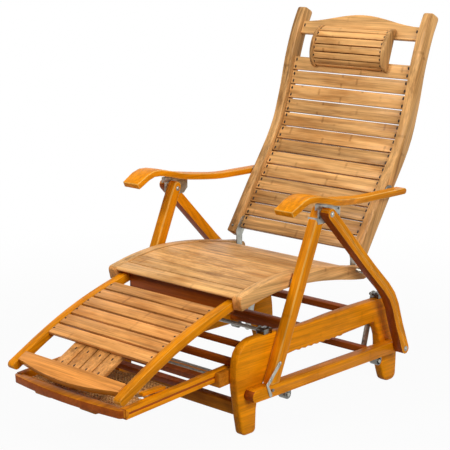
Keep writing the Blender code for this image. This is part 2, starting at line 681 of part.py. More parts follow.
def headrest_outline(at, way, height, depth, count, groove):
    """A half oval whose flat lies along a line, in the plane of the back's side."""
    out = (-way[1], way[0])
    points = []
    for k in range(count + 1):
        angle = math.pi * k / count
        up = -height / 2 * math.cos(angle)
        deep = FIT + (depth - (groove if k % 2 == 0 else 0.0)) * math.sin(angle)
        points.append((at[0] + way[0] * up + out[0] * deep, at[1] + way[1] * up + out[1] * deep))
    return points


def build_headrest():
    # The flat rests on the front edges of the top slat and of the crest rail.
    a, way_a = along(BACK_PATH, BACK_SLAT_FIRST + (BACK_SLATS - 1) * BACK_SLAT_PITCH)
    c, way_c = along(BACK_PATH, CREST_AT)
    low = (a[0] + (way_a[0] * BACK_SLAT_WIDTH - way_a[1] * BACK_SLAT_THICK) / 2,
           a[1] + (way_a[1] * BACK_SLAT_WIDTH + way_a[0] * BACK_SLAT_THICK) / 2)
    high = (c[0] - (way_c[0] * CREST_END_HEIGHT + way_c[1] * CREST_THICK) / 2,
            c[1] - (way_c[1] * CREST_END_HEIGHT - way_c[0] * CREST_THICK) / 2)
    size = math.dist(low, high)
    way = ((high[0] - low[0]) / size, (high[1] - low[1]) / size)
    at = between(low, high, 0.5)
    oval = headrest_outline(at, way, HEADREST_HEIGHT, HEADREST_DEPTH, 14, 0.0)
    for label, side in SIDES:
        board("headrest_end_" + label, "back", oval,
              span(side, HEADREST_HALF - HEADREST_END_THICK, HEADREST_HALF), HONEY)
    reach = HEADREST_HALF - HEADREST_END_THICK - FIT
    slats = headrest_outline(at, way, HEADREST_HEIGHT - 2 * HEADREST_INSET, HEADREST_DEPTH - HEADREST_INSET,
                             2 * HEADREST_SLATS, HEADREST_GROOVE)
    board("headrest_slats", "back", slats, (-reach, reach), HONEY)


def arm_plan():
    """An arm from above: narrow beside the back, flaring to a wide front with a round corner."""
    rear_out = ARM_INNER + ARM_REAR_WIDTH
    front_out = ARM_INNER + ARM_FRONT_WIDTH
    front = ARM_PIVOT[0] - ARM_LENGTH - ARM_THICK
    rear = ARM_PIVOT[0] + ARM_TAIL + ARM_THICK
    narrow = ARM_PIVOT[0] - ARM_NARROW
    plan = [(ARM_INNER - RUN_GAP, rear), (ARM_INNER - RUN_GAP, front), (front_out - 0.2 * ARM_CORNER, front)]
    plan += [(front_out, front + ARM_THICK + ARM_CORNER)]
    plan += [(rear_out + (front_out - rear_out) * (0.5 + 0.5 * math.cos(math.pi * k / 6)),
              narrow - ARM_FLARE * (1 - k / 6)) for k in range(7)]
    return plan + [(rear_out, rear)]


def build_arms():
    profile = ribbon(ARM_PATH, ARM_THICK, True, False)
    fore = APEX[0] - BRACKET_FORE
    aft = APEX[0] + BRACKET_AFT
    top = min(at_y(ARM_UNDERSIDE, fore + (aft - fore) * t)[1] for t in (0.0, 0.25, 0.5, 0.75, 1.0)) - FIT
    plate = [(fore, top - BRACKET_HEIGHT), (aft - BRACKET_CHAMFER, top - BRACKET_HEIGHT),
             (aft, top - BRACKET_HEIGHT + BRACKET_CHAMFER), (aft, top), (fore, top)]
    for label, side in SIDES:
        arm = board("arm_" + label, "arms", profile,
                    span(side, ARM_INNER, ARM_INNER + ARM_FRONT_WIDTH), AMBER)
        plan = [(side * x, y - ARM_PIVOT[0]) for x, y in arm_plan()]
        cut = "arm_plan_" + label
        shape = bpy.data.objects.new(cut, flat_mesh(cut, [plan], ARM_LENGTH / 2))
        combine(arm, [place(shape, "arms", AMBER, helper=True)], "INTERSECT")
        rod("arm_pivot_" + label, "arm_pivots", ARM_PIVOT,
            span(side, RAIL_OUTER + LAYER_GAP, RAIL_OUTER + LAYER_GAP + PLATE_THICK), PIVOT_PLATE_RADIUS,
            STEEL)
        board("arm_bracket_" + label, "arms", plate,
              span(side, LEG_OUT + LAYER_GAP, REAR_LEG_IN - LAYER_GAP), STEEL)


def build_legrest():
    outer = RAIL_INNER - PLATE_THICK - LAYER_GAP
    inner = outer - LEGREST_THICK
    for label, side in SIDES:
        rail = board("legrest_rail_" + label, "legrest", ribbon(LEGREST_PATH, LEGREST_WIDTH),
                     span(side, inner, outer), AMBER)
        combine(rail, [rod("legrest_pin_" + label, "legrest", LEGREST_PIVOT,
                           span(side, outer - PIN_SINK, RAIL_INNER - FIT), PIN_RADIUS, STEEL, helper=True)])
    half = inner - FIT
    for k in range(LEGREST_SLATS):
        last, way = along(LEGREST_TOP, LEGREST_SLAT_FIRST + k * LEGREST_SLAT_PITCH)
        box(f"legrest_slat_{k + 1}", "legrest",
            (2 * half, LEGREST_SLAT_PITCH - LEGREST_SLAT_GAP, LEGREST_SLAT_THICK), (0.0, *last), HONEY,
            math.atan2(-way[1], -way[0]))
    build_foot_board(half, last)


def build_foot_board(half, last):
    """The bowed front piece with its foot slats, which run back under the last cross slat."""
    spot = FRONT_PIECE_AT
    slope = FRONT_PIECE_SLOPE
    plan = [(half, FRONT_PIECE_DEPTH / 2)]
    plan += [(half * (1 - k / 6), -FRONT_PIECE_DEPTH / 2 - FRONT_PIECE_BOW * math.sin(math.pi * k / 12))
             for k in range(13)]
    plan += [(-half, FRONT_PIECE_DEPTH / 2)]
    piece = bpy.data.objects.new("foot_board", flat_mesh("foot_board", [plan], FRONT_PIECE_THICK))
    piece.rotation_euler = (slope, 0.0, 0.0)
    piece.location = Vector((0.0, *spot)) - BODIES["legrest"][1]
    place(piece, "legrest", AMBER)
    down = (math.sin(slope), -math.cos(slope))
    drop = (FRONT_PIECE_THICK + FOOT_SLAT_THICK) / 2 - FOOT_SLAT_SINK
    under = (LEGREST_SLAT_THICK + FOOT_SLAT_THICK) / 2 + FIT
    near = (spot[0] + down[0] * drop, spot[1] + down[1] * drop)
    far = (last[0] + down[0] * under, last[1] + down[1] * under)
    slats = []
    for k in range(FOOT_SLATS):
        x = (k - (FOOT_SLATS - 1) / 2) * FOOT_SLAT_PITCH
        slats.append(box(f"foot_slat_{k + 1}", "legrest",
                         (FOOT_SLAT_PITCH - FOOT_SLAT_GAP, math.dist(spot, last), FOOT_SLAT_THICK),
                         (x, *between(near, far, 0.5)), HONEY,
                         math.atan2(far[1] - near[1], far[0] - near[0]), helper=True))
    combine(piece, slats)


def build_stool():
    inner = STOOL_OUTER - STOOL_RAIL_THICK
    wide = STOOL_OUTER - RUN_GAP
    plan = [(wide, STOOL_BOARD_THICK / 2)]
    plan += [(wide * (1 - k / 6), -STOOL_BOARD_THICK / 2 - STOOL_BOARD_BOW * math.sin(math.pi * k / 12))
             for k in range(13)]
    plan += [(-wide, STOOL_BOARD_THICK / 2)]
    frame = bpy.data.objects.new("stool_frame", flat_mesh("stool_frame", [plan], STOOL_BOARD_HEIGHT))
    frame.location = (0.0, STOOL_FRONT - STOOL_BOARD_THICK / 4, STOOL_BOARD_HEIGHT / 2 - STOOL_BOARD_LOW)
    place(frame, "stool", AMBER)
    tools = []
    for label, side in SIDES:
        x = side * (STOOL_OUTER - STOOL_RAIL_THICK / 2)
        tools.append(box("stool_rail_" + label, "stool",
                         (STOOL_RAIL_THICK, STOOL_BACK - STOOL_FRONT, STOOL_RAIL_HEIGHT),
                         (x, (STOOL_BACK + STOOL_FRONT) / 2, 0.0), AMBER, helper=True, local=True))
    for k, y in enumerate((*STOOL_BARS, STOOL_BACK - STOOL_BAR_DEPTH)):
        tools.append(box(f"stool_bar_{k + 1}", "stool",
                         (2 * inner + PIN_SINK, STOOL_BAR_DEPTH, STOOL_BAR_HEIGHT),
                         (0.0, y, 0.0), RUSSET, helper=True, local=True))
    combine(frame, tools, solver="MANIFOLD")


def build_track():
    """A cross bar under the stool's rails, with a cheek outside each rail."""
    low = -STOOL_RAIL_HEIGHT / 2 - FIT - GUIDE_THICK / 2
    cheek = BASE_INNER - FIT - (STOOL_OUTER + FIT)
    track = box("stool_track", "track", (2 * (BASE_INNER - FIT), GUIDE_LENGTH, GUIDE_THICK),
                (0.0, 0.0, low), RUSSET, local=True)
    cheeks = []
    for label, side in SIDES:
        cheeks.append(box("track_cheek_" + label, "track",
                          (cheek, GUIDE_LENGTH, STOOL_RAIL_HEIGHT + GUIDE_THICK),
                          (side * (STOOL_OUTER + FIT + cheek / 2), 0.0, low + STOOL_RAIL_HEIGHT / 2), RUSSET,
                          helper=True, local=True))
    combine(track, cheeks)


def build_roller():
    """A row of turned beads on one axis, between the stool's rails."""
    reach = STOOL_OUTER - STOOL_RAIL_THICK - FIT
    steps = 4 * ROLLER_BEADS
    profile = [(0.0, reach)]
    for k in range(steps + 1):
        wave = 0.5 - 0.5 * math.cos(2 * math.pi * k / 4)
        profile.append((ROLLER_NECK + (ROLLER_RADIUS - ROLLER_NECK) * wave, reach - 2 * reach * k / steps))
    profile.append((0.0, -reach))
    mesh = bpy.data.meshes.new("bead_roller")
    work = bmesh.new()
    verts = [work.verts.new((r, 0.0, h)) for r, h in profile]
    for a, b in zip(verts, verts[1:]):
        work.edges.new((a, b))
    work.to_mesh(mesh)
    work.free()
    roller = bpy.data.objects.new("bead_roller", mesh)
    roller.rotation_euler = (0.0, math.pi / 2, 0.0)
    place(roller, "roller", HONEY)
    turn = roller.modifiers.new("turn", "SCREW")
    turn.axis = "Z"
    turn.angle = 2 * math.pi
    turn.steps = ROLLER_SIDES
    turn.render_steps = ROLLER_SIDES
    turn.use_merge_vertices = True
    turn.merge_threshold = 0.0001
    turn.use_smooth_shade = True


build_base()
build_glider()
build_carriage()
build_legs()
build_seat()
build_back()
build_crest()
build_headrest()
build_arms()
build_legrest()
build_stool()
build_track()
build_roller()
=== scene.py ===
"""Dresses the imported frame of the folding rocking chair: bamboo boards with rounded arrises,
a seat of fine strips, a slatted headrest, turned beads, screws, bolts and zinc-plated straps."""

import json
import math

import bmesh
import bpy
from mathutils import Matrix, Vector
from mathutils.bvhtree import BVHTree

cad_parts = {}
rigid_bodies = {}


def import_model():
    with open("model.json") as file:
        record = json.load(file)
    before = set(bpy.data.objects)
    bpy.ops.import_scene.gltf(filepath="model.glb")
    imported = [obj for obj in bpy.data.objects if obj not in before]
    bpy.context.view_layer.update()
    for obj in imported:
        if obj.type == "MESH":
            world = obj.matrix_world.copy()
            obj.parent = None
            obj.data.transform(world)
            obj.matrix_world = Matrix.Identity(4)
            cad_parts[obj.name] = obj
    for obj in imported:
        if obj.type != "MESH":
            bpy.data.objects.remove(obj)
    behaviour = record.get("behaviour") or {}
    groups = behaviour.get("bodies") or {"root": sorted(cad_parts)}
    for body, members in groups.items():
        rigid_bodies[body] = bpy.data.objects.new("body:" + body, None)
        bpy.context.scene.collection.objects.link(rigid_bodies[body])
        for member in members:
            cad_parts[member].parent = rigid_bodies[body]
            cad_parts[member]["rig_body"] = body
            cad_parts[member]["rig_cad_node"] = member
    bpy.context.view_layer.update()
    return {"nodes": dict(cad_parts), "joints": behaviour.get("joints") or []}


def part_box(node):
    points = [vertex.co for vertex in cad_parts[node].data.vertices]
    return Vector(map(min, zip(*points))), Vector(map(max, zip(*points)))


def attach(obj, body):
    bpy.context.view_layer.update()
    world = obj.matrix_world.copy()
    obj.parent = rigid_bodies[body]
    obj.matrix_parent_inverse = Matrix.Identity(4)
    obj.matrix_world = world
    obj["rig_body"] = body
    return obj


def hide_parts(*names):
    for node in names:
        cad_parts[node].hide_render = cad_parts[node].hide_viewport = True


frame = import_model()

bl_info = {
    "name": "Folding Rocking Chair",
    "version": (1, 0, 0),
    "blender": (4, 5, 0),
    "location": "View3D > Sidebar > Chair",
    "description": "Builds the looks of a bamboo folding rocking chair round its packed frame",
    "category": "Object",
}

NODES = frame["nodes"]
PIVOTS = {joint["child"]: Vector(joint["pos_m"]) for joint in frame["joints"] if "pos_m" in joint}
SIDES = {"left": 1, "right": -1}
X = Vector((1.0, 0.0, 0.0))
Y = Vector((0.0, 1.0, 0.0))
Z = Vector((0.0, 0.0, 1.0))
BACK_SLATS = sorted(n for n in NODES if n.startswith("back_slat_"))
LEGREST_SLATS = sorted(n for n in NODES if n.startswith("legrest_slat_"))


def size_of(name, description, default):
    """A size in metres that a user may change."""
    return bpy.props.FloatProperty(name=name, description=description, default=default, unit="LENGTH")


def colour_of(name, description, default):
    """A colour that a user may change."""
    return bpy.props.FloatVectorProperty(name=name, description=description, default=default,
                                         subtype="COLOR", size=3, min=0.0, max=1.0)


class ChairSizes(bpy.types.PropertyGroup):
    """Sizes of the chair's finish and fittings."""

    arris: size_of("Arris", "Rounding of the thick boards' edges", 0.0035)
    slat_arris: size_of("Slat arris", "Rounding of the slats' edges", 0.0018)
    plate_arris: size_of("Plate arris", "Rounding of the steel plates' edges", 0.0005)
    groove_depth: size_of("Groove depth", "Depth of the grooves along the legs and the stool's rails",
                          0.0016)
    screw_radius: size_of("Screw head", "Radius of a wood screw's head", 0.0034)
    bolt_radius: size_of("Bolt head", "Radius of a pivot bolt's domed head", 0.0052)
    seat_strip: size_of("Seat strip", "Width of one strip of the seat", 0.0165)
    seat_seam: size_of("Seat seam", "Gap between the seat's strips", 0.0006)
    seat_drop: size_of("Seat drop", "How far the strips lie below the rails", 0.0022)
    foot_round: size_of("Foot round", "Rounding of the feet's corners", 0.012)
    bead_radius: size_of("Bead", "Radius of the beads on the stool's tray", 0.0052)
    plug_inset: size_of("Plug inset", "How far the plugs sit from the ends of the back's slats", 0.010)
    rail_round: size_of("Rail round", "Rounding of the back rails' tops", 0.009)


class ChairColours(bpy.types.PropertyGroup):
    """Colours of the chair's finishes."""

    honey: colour_of("Honey bamboo", "Back, seat and headrest", (0.625, 0.335, 0.118))
    tan: colour_of("Tan bamboo", "Slats of the leg rest", (0.62, 0.275, 0.075))
    amber: colour_of("Amber bamboo", "Arms, legs, base and stool", (0.74, 0.25, 0.003))
    cinnamon: colour_of("Cinnamon bamboo", "Front piece of the leg rest", (0.63, 0.245, 0.05))
    # Umber also paints shade on the foot board's faces that look forward and down.
    umber: colour_of("Umber bamboo", "Stool's front board and track, front bar of the base",
                     (0.50, 0.165, 0.008))
    # This colour is a painted highlight: the light caught on the rounded arrises of rails, legs and arms, not
    # wear.
    pale: colour_of("Pale arrises", "Rubbed edges of rails, legs and arms", (0.74, 0.36, 0.06))
    # Russet is the stain of the cross bars, and also painted shade on the rear legs' faces that look forward
    # and down, in the floors of the stool rails' grooves and on the headrest core's front.
    russet: colour_of("Stained wood", "Cross bars under the seat", (0.32, 0.068, 0.004))
    steel: colour_of("Zinc-plated steel", "Yokes, rods, hooks and plates", (0.44, 0.44, 0.40))
    gunmetal: colour_of("Gunmetal", "Saddles, lugs, nuts and arm pivots", (0.19, 0.185, 0.17))
    dark_steel: colour_of("Dark steel", "Screws and plugs", (0.03, 0.018, 0.012))


# Materials

class Paint:
    """A socket of a material that takes part in Python arithmetic through Math nodes."""

    def __init__(self, tree, socket=None):
        self.tree = tree
        self.socket = socket

    def node(self, kind, settings=None, sockets=None, out=0):
        """Adds a node: its settings first, then the values or links of its sockets."""
        made = self.tree.nodes.new(kind)
        for key, value in (settings or {}).items():
            setattr(made, key, value)
        for key, value in (sockets or {}).items():
            if isinstance(value, Paint):
                self.tree.links.new(value.socket, made.inputs[key])
            else:
                made.inputs[key].default_value = value
        return Paint(self.tree, made.outputs[out])

    def out(self, name):
        return Paint(self.tree, self.socket.node.outputs[name])

    def maths(self, operation, *values):
        return self.node("ShaderNodeMath", {"operation": operation}, dict(enumerate(values)))

    def __add__(self, other):
        return self.maths("ADD", self, other)

    def __radd__(self, other):
        return self.maths("ADD", other, self)

    def __sub__(self, other):
        return self.maths("SUBTRACT", self, other)

    def __rsub__(self, other):
        return self.maths("SUBTRACT", other, self)

    def __mul__(self, other):
        return self.maths("MULTIPLY", self, other)

    def __rmul__(self, other):
        return self.maths("MULTIPLY", other, self)

    def __truediv__(self, other):
        return self.maths("DIVIDE", self, other)

    def __abs__(self):
        return self.maths("ABSOLUTE", self)

    def __floor__(self):
        return self.maths("FLOOR", self)

    def between(self, low, high):
        """0 below low, 1 above high, and smooth between them."""
        return self.node("ShaderNodeMapRange", {"interpolation_type": "SMOOTHSTEP"},
                         {"Value": self, "From Min": low, "From Max": high})

    def noise(self, scale, detail=2.0, roughness=0.5):
        """A noise on this vector, stretched by a scale for each axis."""
        spread = self.node("ShaderNodeVectorMath", {"operation": "MULTIPLY"}, {0: self, 1: scale})
        return self.node("ShaderNodeTexNoise", {}, {"Vector": spread, "Scale": 1.0, "Detail": detail,
                                                   "Roughness": roughness})

    def chance(self):
        """A random value for each whole number."""
        return self.node("ShaderNodeTexWhiteNoise", {"noise_dimensions": "1D"}, {"W": self})

    def mixed(self, first, second):
        """Two colours mixed by this value."""
        return self.node("ShaderNodeMix", {"data_type": "RGBA"}, {0: self, 6: first, 7: second}, 2)


def new_material(name):
    material = bpy.data.materials.new(name)
    material.use_nodes = True
    material.node_tree.nodes.clear()
    return material, Paint(material.node_tree)


def close_material(material, shader):
    end = material.node_tree.nodes.new("ShaderNodeOutputMaterial")
    material.node_tree.links.new(shader.socket, end.inputs["Surface"])
    return material


def tinted(colour, factor, tint=(1.0, 1.0, 1.0)):
    return (*(min(1.0, c * factor * t) for c, t in zip(colour, tint)), 1.0)


LAMELLA = 0.018          # Width of one strip of the laminate
KNUCKLE_SPACING = 0.23   # From one knuckle to the next along a strip
# Scales of the bamboo's noises along, across and through the grain
FIBRE, STREAK = (7.0, 430.0, 430.0), (3.6, 95.0, 95.0)
CLOUD, BLOTCH = (4.5, 20.0, 20.0), (8.0, 26.0, 26.0)
BROWN_TINT, BLOTCH_TINT, KNUCKLE_TINT = (1.0, 0.80, 0.56), (1.0, 0.82, 0.62), (1.0, 0.74, 0.50)


def bamboo(name, colour, contrast, rough, patch, joints, gloss):
    """Laminated bamboo: strips of differing tone, long streaks, fine fibres, knuckles and brown patches."""
    material, paint = new_material(name)
    grain = paint.node("ShaderNodeAttribute", {"attribute_name": "grain"}, out="Vector")
    tone = paint.node("ShaderNodeAttribute", {"attribute_name": "tone"}, out="Fac")
    axes = paint.node("ShaderNodeSeparateXYZ", {}, {"Vector": grain})
    lane = math.floor(axes.out("Y") / LAMELLA)
    fibre = grain.noise(FIBRE, 3.0, 0.6)
    streak = grain.noise(STREAK, 3.0, 0.62)
    cloud = grain.noise(CLOUD, 3.0, 0.6)
    step = axes.out("X") / KNUCKLE_SPACING + lane.chance() * 7.0
    ring = 1.0 - abs(step - math.floor(step) - 0.5).between(0.006, 0.026)
    knuckle = ring * cloud.between(0.40, 0.60)
    value = (1.0 + (fibre - 0.5) * (0.95 * contrast) + (streak - 0.5) * (1.45 * contrast)
             + ((lane + 31.0).chance() - 0.5) * (0.20 * joints) + tone * (0.17 * contrast))
    brown = cloud.between(0.44, 0.72) * (0.72 * contrast)
    blotch = grain.noise(BLOTCH, 4.0, 0.68).between(0.46, 0.66) * patch
    base = brown.mixed(tinted(colour, 1.06), tinted(colour, 0.66, BROWN_TINT))
    base = blotch.mixed(base, tinted(colour, 0.58, BLOTCH_TINT))
    base = (knuckle * (0.5 * joints)).mixed(base, tinted(colour, 0.34, KNUCKLE_TINT))
    shade = paint.node("ShaderNodeCombineColor", {},
                       {0: value, 1: value * 1.02 - 0.02, 2: value * 1.06 - 0.06})
    base = paint.node("ShaderNodeMix", {"data_type": "RGBA", "blend_type": "MULTIPLY"},
                      {0: 1.0, 6: base, 7: shade}, 2)
    bump = paint.node("ShaderNodeBump", {}, {"Strength": 0.22, "Distance": 0.0006,
                                             "Height": fibre - knuckle * 0.3})
    shader = paint.node("ShaderNodeBsdfPrincipled", {}, {
        "Base Color": base, "Roughness": rough + (fibre - 0.5) * 0.16 + brown * 0.1, "Normal": bump,
        "Specular IOR Level": gloss, "Coat Weight": gloss * 0.3, "Coat Roughness": 0.14})
    return close_material(material, shader)


def steel(name, colour, rough, metallic):
    """Plated steel with fine brushing and cloudy patches."""
    material, paint = new_material(name)
    where = paint.node("ShaderNodeTexCoord", {}, {}, "Object")
    brushed = where.noise((900.0, 140.0, 140.0), 2.0)
    cloud = where.noise((60.0, 60.0, 60.0), 3.0, 0.6)
    base = cloud.between(0.35, 0.7).mixed(tinted(colour, 0.72), tinted(colour, 1.12, (1.0, 1.0, 0.96)))
    bump = paint.node("ShaderNodeBump", {}, {"Strength": 0.12, "Distance": 0.0003, "Height": brushed})
    shader = paint.node("ShaderNodeBsdfPrincipled", {}, {
        "Base Color": base, "Roughness": rough + (cloud - 0.5) * 0.3 + (brushed - 0.5) * 0.1,
        "Metallic": metallic, "Normal": bump})
    return close_material(material, shader)


FINISHES = {}
# Roughness and metallic share of each metal
METALS = {"steel": (0.34, 0.85), "dark_steel": (0.5, 0.5), "gunmetal": (0.26, 1.0)}
# Contrast, roughness, patches, knuckles and gloss of each wood
WOODS = {"honey": (1.2, 0.45, 0.20, 1.0, 0.13), "seat": (1.1, 0.45, 0.80, 0.6, 0.13),
         "tan": (1.15, 0.44, 0.35, 0.9, 0.12), "amber": (0.74, 0.36, 0.30, 0.34, 0.06),
         # The arrises' wood is a painted highlight, lighter than the amber boards that it edges.
         "umber": (0.8, 0.38, 0.40, 0.3, 0.08), "pale": (0.7, 0.36, 0.20, 0.3, 0.10),
         "cinnamon": (1.0, 0.42, 0.30, 0.4, 0.10), "russet": (0.8, 0.45, 0.40, 0.5, 0.10)}


def finish_named(name):
    """The chair's materials, each made when it is first asked for."""
    if name not in FINISHES:
        colour = getattr(bpy.context.scene.chair_colours, "honey" if name == "seat" else name)
        if name in METALS:
            FINISHES[name] = steel(name, colour, *METALS[name])
        else:
            FINISHES[name] = bamboo(name + "_bamboo", colour, *WOODS[name])
    return FINISHES[name]


# Modelling

def deselect():
    bpy.ops.object.select_all(action="DESELECT")


def activate(piece):
    deselect()
    piece.select_set(True)
    bpy.context.view_layer.objects.active = piece


def enter():
    """Opens the active piece for editing, with all of it selected."""
    bpy.ops.object.mode_set(mode="EDIT")
    bpy.ops.mesh.select_all(action="SELECT")


def leave():
    bpy.ops.object.mode_set(mode="OBJECT")


def raise_face(height):
    """Extrudes the selected faces up by a height, or sinks them."""
    bpy.ops.mesh.extrude_region_move(TRANSFORM_OT_translate={"value": (0.0, 0.0, height)})


def chance(text):
    """A steady value from -1 to 1 for a name."""
    total = sum((k + 3) * ord(letter) for k, letter in enumerate(text))
    return 2.0 * ((math.sin(total * 12.9898) * 43758.5453) % 1.0) - 1.0


def node_copy(node, name):
    """A merged copy of a CAD node, with its flat triangles joined into faces."""
    piece = NODES[node].copy()
    piece.data = NODES[node].data.copy()
    piece.name = name
    piece.data.name = name
    piece.parent = None
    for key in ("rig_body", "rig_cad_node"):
        del piece[key]
    bpy.context.scene.collection.objects.link(piece)
    activate(piece)
    bpy.ops.mesh.customdata_custom_splitnormals_clear()
    enter()
    bpy.ops.mesh.remove_doubles(threshold=0.00002)
    bpy.ops.mesh.dissolve_limited(angle_limit=math.radians(1.0))
    leave()
    return piece


def pick(piece, test, kind="FACE"):
    """In edit mode, selects the faces or edges that pass a test and nothing else."""
    bpy.ops.mesh.select_mode(type=kind)
    bpy.ops.mesh.select_all(action="DESELECT")
    work = bmesh.from_edit_mesh(piece.data)
    found = [item for item in (work.faces if kind == "FACE" else work.edges) if test(item)]
    for item in found:
        item.select_set(True)
    bmesh.update_edit_mesh(piece.data)
    if not found:
        raise RuntimeError("nothing of " + piece.name + " is where it was looked for")


def groove(piece, side, margin, depth):
    """A groove along a board's face that looks to one side, a margin in from its edges."""
    activate(piece)
    enter()
    largest = max(f.area for f in piece.data.polygons if f.normal.x * side > 0.99)
    pick(piece, lambda f: f.normal.x * side > 0.99 and f.calc_area() > 0.95 * largest)
    bpy.ops.mesh.inset(thickness=margin, depth=0.0)
    bpy.ops.mesh.inset(thickness=0.0006, depth=-depth)
    leave()


def soften(piece, width, test, segments=4):
    """Rounds the edges along X that pass a test on their middle point."""
    activate(piece)
    enter()
    pick(piece, lambda e: abs((e.verts[1].co - e.verts[0].co).normalized().x) > 0.99
         and test((e.verts[0].co + e.verts[1].co) / 2), "EDGE")
    bpy.ops.mesh.bevel(offset=width, segments=segments, affect="EDGES", clamp_overlap=True)
    leave()


def round_edges(piece, width, segments=2, angle=30.0, material=-1):
    """Rounds the edges, applies it, and shades the result. The roundings may take a material slot."""
    activate(piece)
    step = piece.modifiers.new("arris", "BEVEL")
    step.width = width
    step.segments = segments
    step.limit_method = "ANGLE"
    step.angle_limit = math.radians(angle)
    step.use_clamp_overlap = True
    step.material = material
    bpy.ops.object.modifier_apply(modifier=step.name)
    bpy.ops.object.shade_smooth_by_angle(angle=math.radians(35.0))


def joined(pieces, name):
    deselect()
    for piece in pieces:
        piece.select_set(True)
    bpy.context.view_layer.objects.active = pieces[0]
    if len(pieces) > 1:
        bpy.ops.object.join()
    whole = bpy.context.view_layer.objects.active
    whole.name = name
    whole.data.name = name
    return whole


def turned(place, *axes):
    """The matrix that puts a piece at a place with its axes turned to three ways."""
    return Matrix.Translation(place) @ Matrix(axes).transposed().to_4x4()


def settle(piece, matrix=None):
    """Puts a piece's place into its mesh."""
    if matrix is not None:
        piece.matrix_world = matrix
    activate(piece)
    bpy.ops.object.transform_apply(location=True, rotation=True, scale=True)


def lay_grain(piece, along, tone, seed=None, test=None):
    """Writes grain coordinates, metres along, across and through the piece, and its tone.
    A test on a face's middle and normal keeps it to some faces."""
    seed = seed or piece.name
    along = Vector(along).normalized()
    across = along.cross(X) if abs(along.x) < 0.9 else along.cross(Y)
    across.normalize()
    through = along.cross(across)
    ways = ((along, 3.0 * chance(seed + "a")), (across, 2.0 * chance(seed + "b")),
            (through, 2.0 * chance(seed + "c")))
    mesh = piece.data
    for name, kind in (("grain", "FLOAT_VECTOR"), ("tone", "FLOAT")):
        if name not in mesh.attributes:
            mesh.attributes.new(name, kind, "CORNER")
    grain, tones = mesh.attributes["grain"].data, mesh.attributes["tone"].data
    for face in mesh.polygons:
        if test is None or test(face.center, face.normal):
            for corner in face.loop_indices:
                place = mesh.vertices[mesh.loops[corner].vertex_index].co
                grain[corner].vector = [place.dot(way) + start for way, start in ways]
                tones[corner].value = tone


def paint_piece(piece, finish, body, *nodes):
    """Gives a piece its material and its body, and hides the CAD nodes that it stands for."""
    piece.data.materials.clear()
    piece.data.materials.append(finish_named(finish))
    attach(piece, body)
    if nodes:
        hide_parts(*nodes)
    return piece


def second_finish(piece, finish, test):
    """Gives the faces that pass a test on their middle and normal another finish."""
    piece.data.materials.append(finish_named(finish))
    place = len(piece.data.materials) - 1
    for face in piece.data.polygons:
        if test(face.center, face.normal):
            face.material_index = place


def board(node, body, finish, along, arris, segments=2, shape=None, edge=None):
    """A CAD board with rounded arrises, a grain and a tone of its own, shaped first by a function."""
    piece = node_copy(node, "dressed_" + node)
    if shape:
        shape(piece)
    piece.data.materials.clear()
    # An edge finish goes on the rounded arrises, where the chair's boards use it as a painted highlight.
    for name in (finish, edge or finish):
        piece.data.materials.append(finish_named(name))
    round_edges(piece, arris, segments, material=1 if edge else 0)
    lay_grain(piece, along, chance(node))
    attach(piece, body)
    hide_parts(node)
    return piece


def plate(node, body, finish="steel"):
    """A CAD steel piece with broken edges."""
    piece = node_copy(node, "dressed_" + node)
    round_edges(piece, bpy.context.scene.chair_sizes.plate_arris, 2, 40.0)
    return paint_piece(piece, finish, body, node)


def cuboid(name, size):
    """A new cuboid at the origin, left open for editing."""
    bpy.ops.mesh.primitive_cube_add(size=1.0)
    piece = bpy.context.object
    piece.name = name
    piece.data.name = name
    enter()
    bpy.ops.transform.resize(value=size)
    return piece


def block(name, low, high, along, arris):
    """A new block between two corners, with its ends let in a little and its arrises rounded."""
    low, high = Vector(low), Vector(high)
    piece = cuboid(name, high - low)
    bpy.ops.transform.translate(value=(low + high) / 2)
    pick(piece, lambda f: abs(f.normal.dot(along)) > 0.9)
    bpy.ops.mesh.inset(thickness=arris * 0.8, depth=0.0, use_individual=True)
    leave()
    round_edges(piece, arris)
    return piece


def bar(name, body, finish, low, high, along, arris):
    """A new wooden bar between two corners."""
    piece = block(name, low, high, along, arris)
    lay_grain(piece, along, chance(name))
    return paint_piece(piece, finish, body)


def chord(node):
    """The way a long board in the side plane runs."""
    points = [v.co for v in NODES[node].data.vertices]
    low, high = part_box(node)
    axis = 1 if high.y - low.y > high.z - low.z else 2
    way = max(points, key=lambda p: p[axis]) - min(points, key=lambda p: p[axis])
    way.x = 0.0
    return way.normalized()


def flat_face(node, towards):
    """The middle and the normal of the largest flat face of a node that looks one way."""
    sums = {}
    for face in NODES[node].data.polygons:
        if face.normal.dot(towards) > 0.3:
            key = tuple(round(c, 2) for c in face.normal)
            found = sums.setdefault(key, [0.0, Vector(), face.normal.copy()])
            found[0] += face.area
            found[1] += face.center * face.area
    area, total, normal = max(sums.values(), key=lambda found: found[0])
    return total / area, normal


def landing(node, start, way):
    """Where a straight line meets a node, and the normal there."""
    mesh = NODES[node].data
    tree = BVHTree.FromPolygons([v.co for v in mesh.vertices], [p.vertices for p in mesh.polygons])
    place, normal = tree.ray_cast(start, way)[:2]
    if place is None:
        raise RuntimeError("no part of " + node + " lies where it was looked for")
    return place, normal


# Fasteners, modelled once at the origin looking up

def disc(radius, depth, sides):
    """A disc left open for editing, with its top face selected."""
    bpy.ops.mesh.primitive_cylinder_add(vertices=sides, radius=radius, depth=depth)
    piece = bpy.context.object
    enter()
    pick(piece, lambda f: f.normal.z > 0.9)
    return piece


def wood_screw(radius, stretch=1.0):
    """A shallow screw head with a sunk recess, or a long plug when it is stretched."""
    piece = disc(radius, radius * 0.5, 12)
    bpy.ops.mesh.inset(thickness=radius * 0.28)
    bpy.ops.transform.translate(value=(0.0, 0.0, radius * 0.16))
    bpy.ops.mesh.inset(thickness=radius * 0.3)
    raise_face(-radius * 0.35)
    bpy.ops.mesh.select_all(action="SELECT")
    bpy.ops.transform.resize(value=(stretch, 1.0, 1.0))
    leave()
    bpy.ops.object.shade_smooth_by_angle(angle=math.radians(40.0))
    return piece


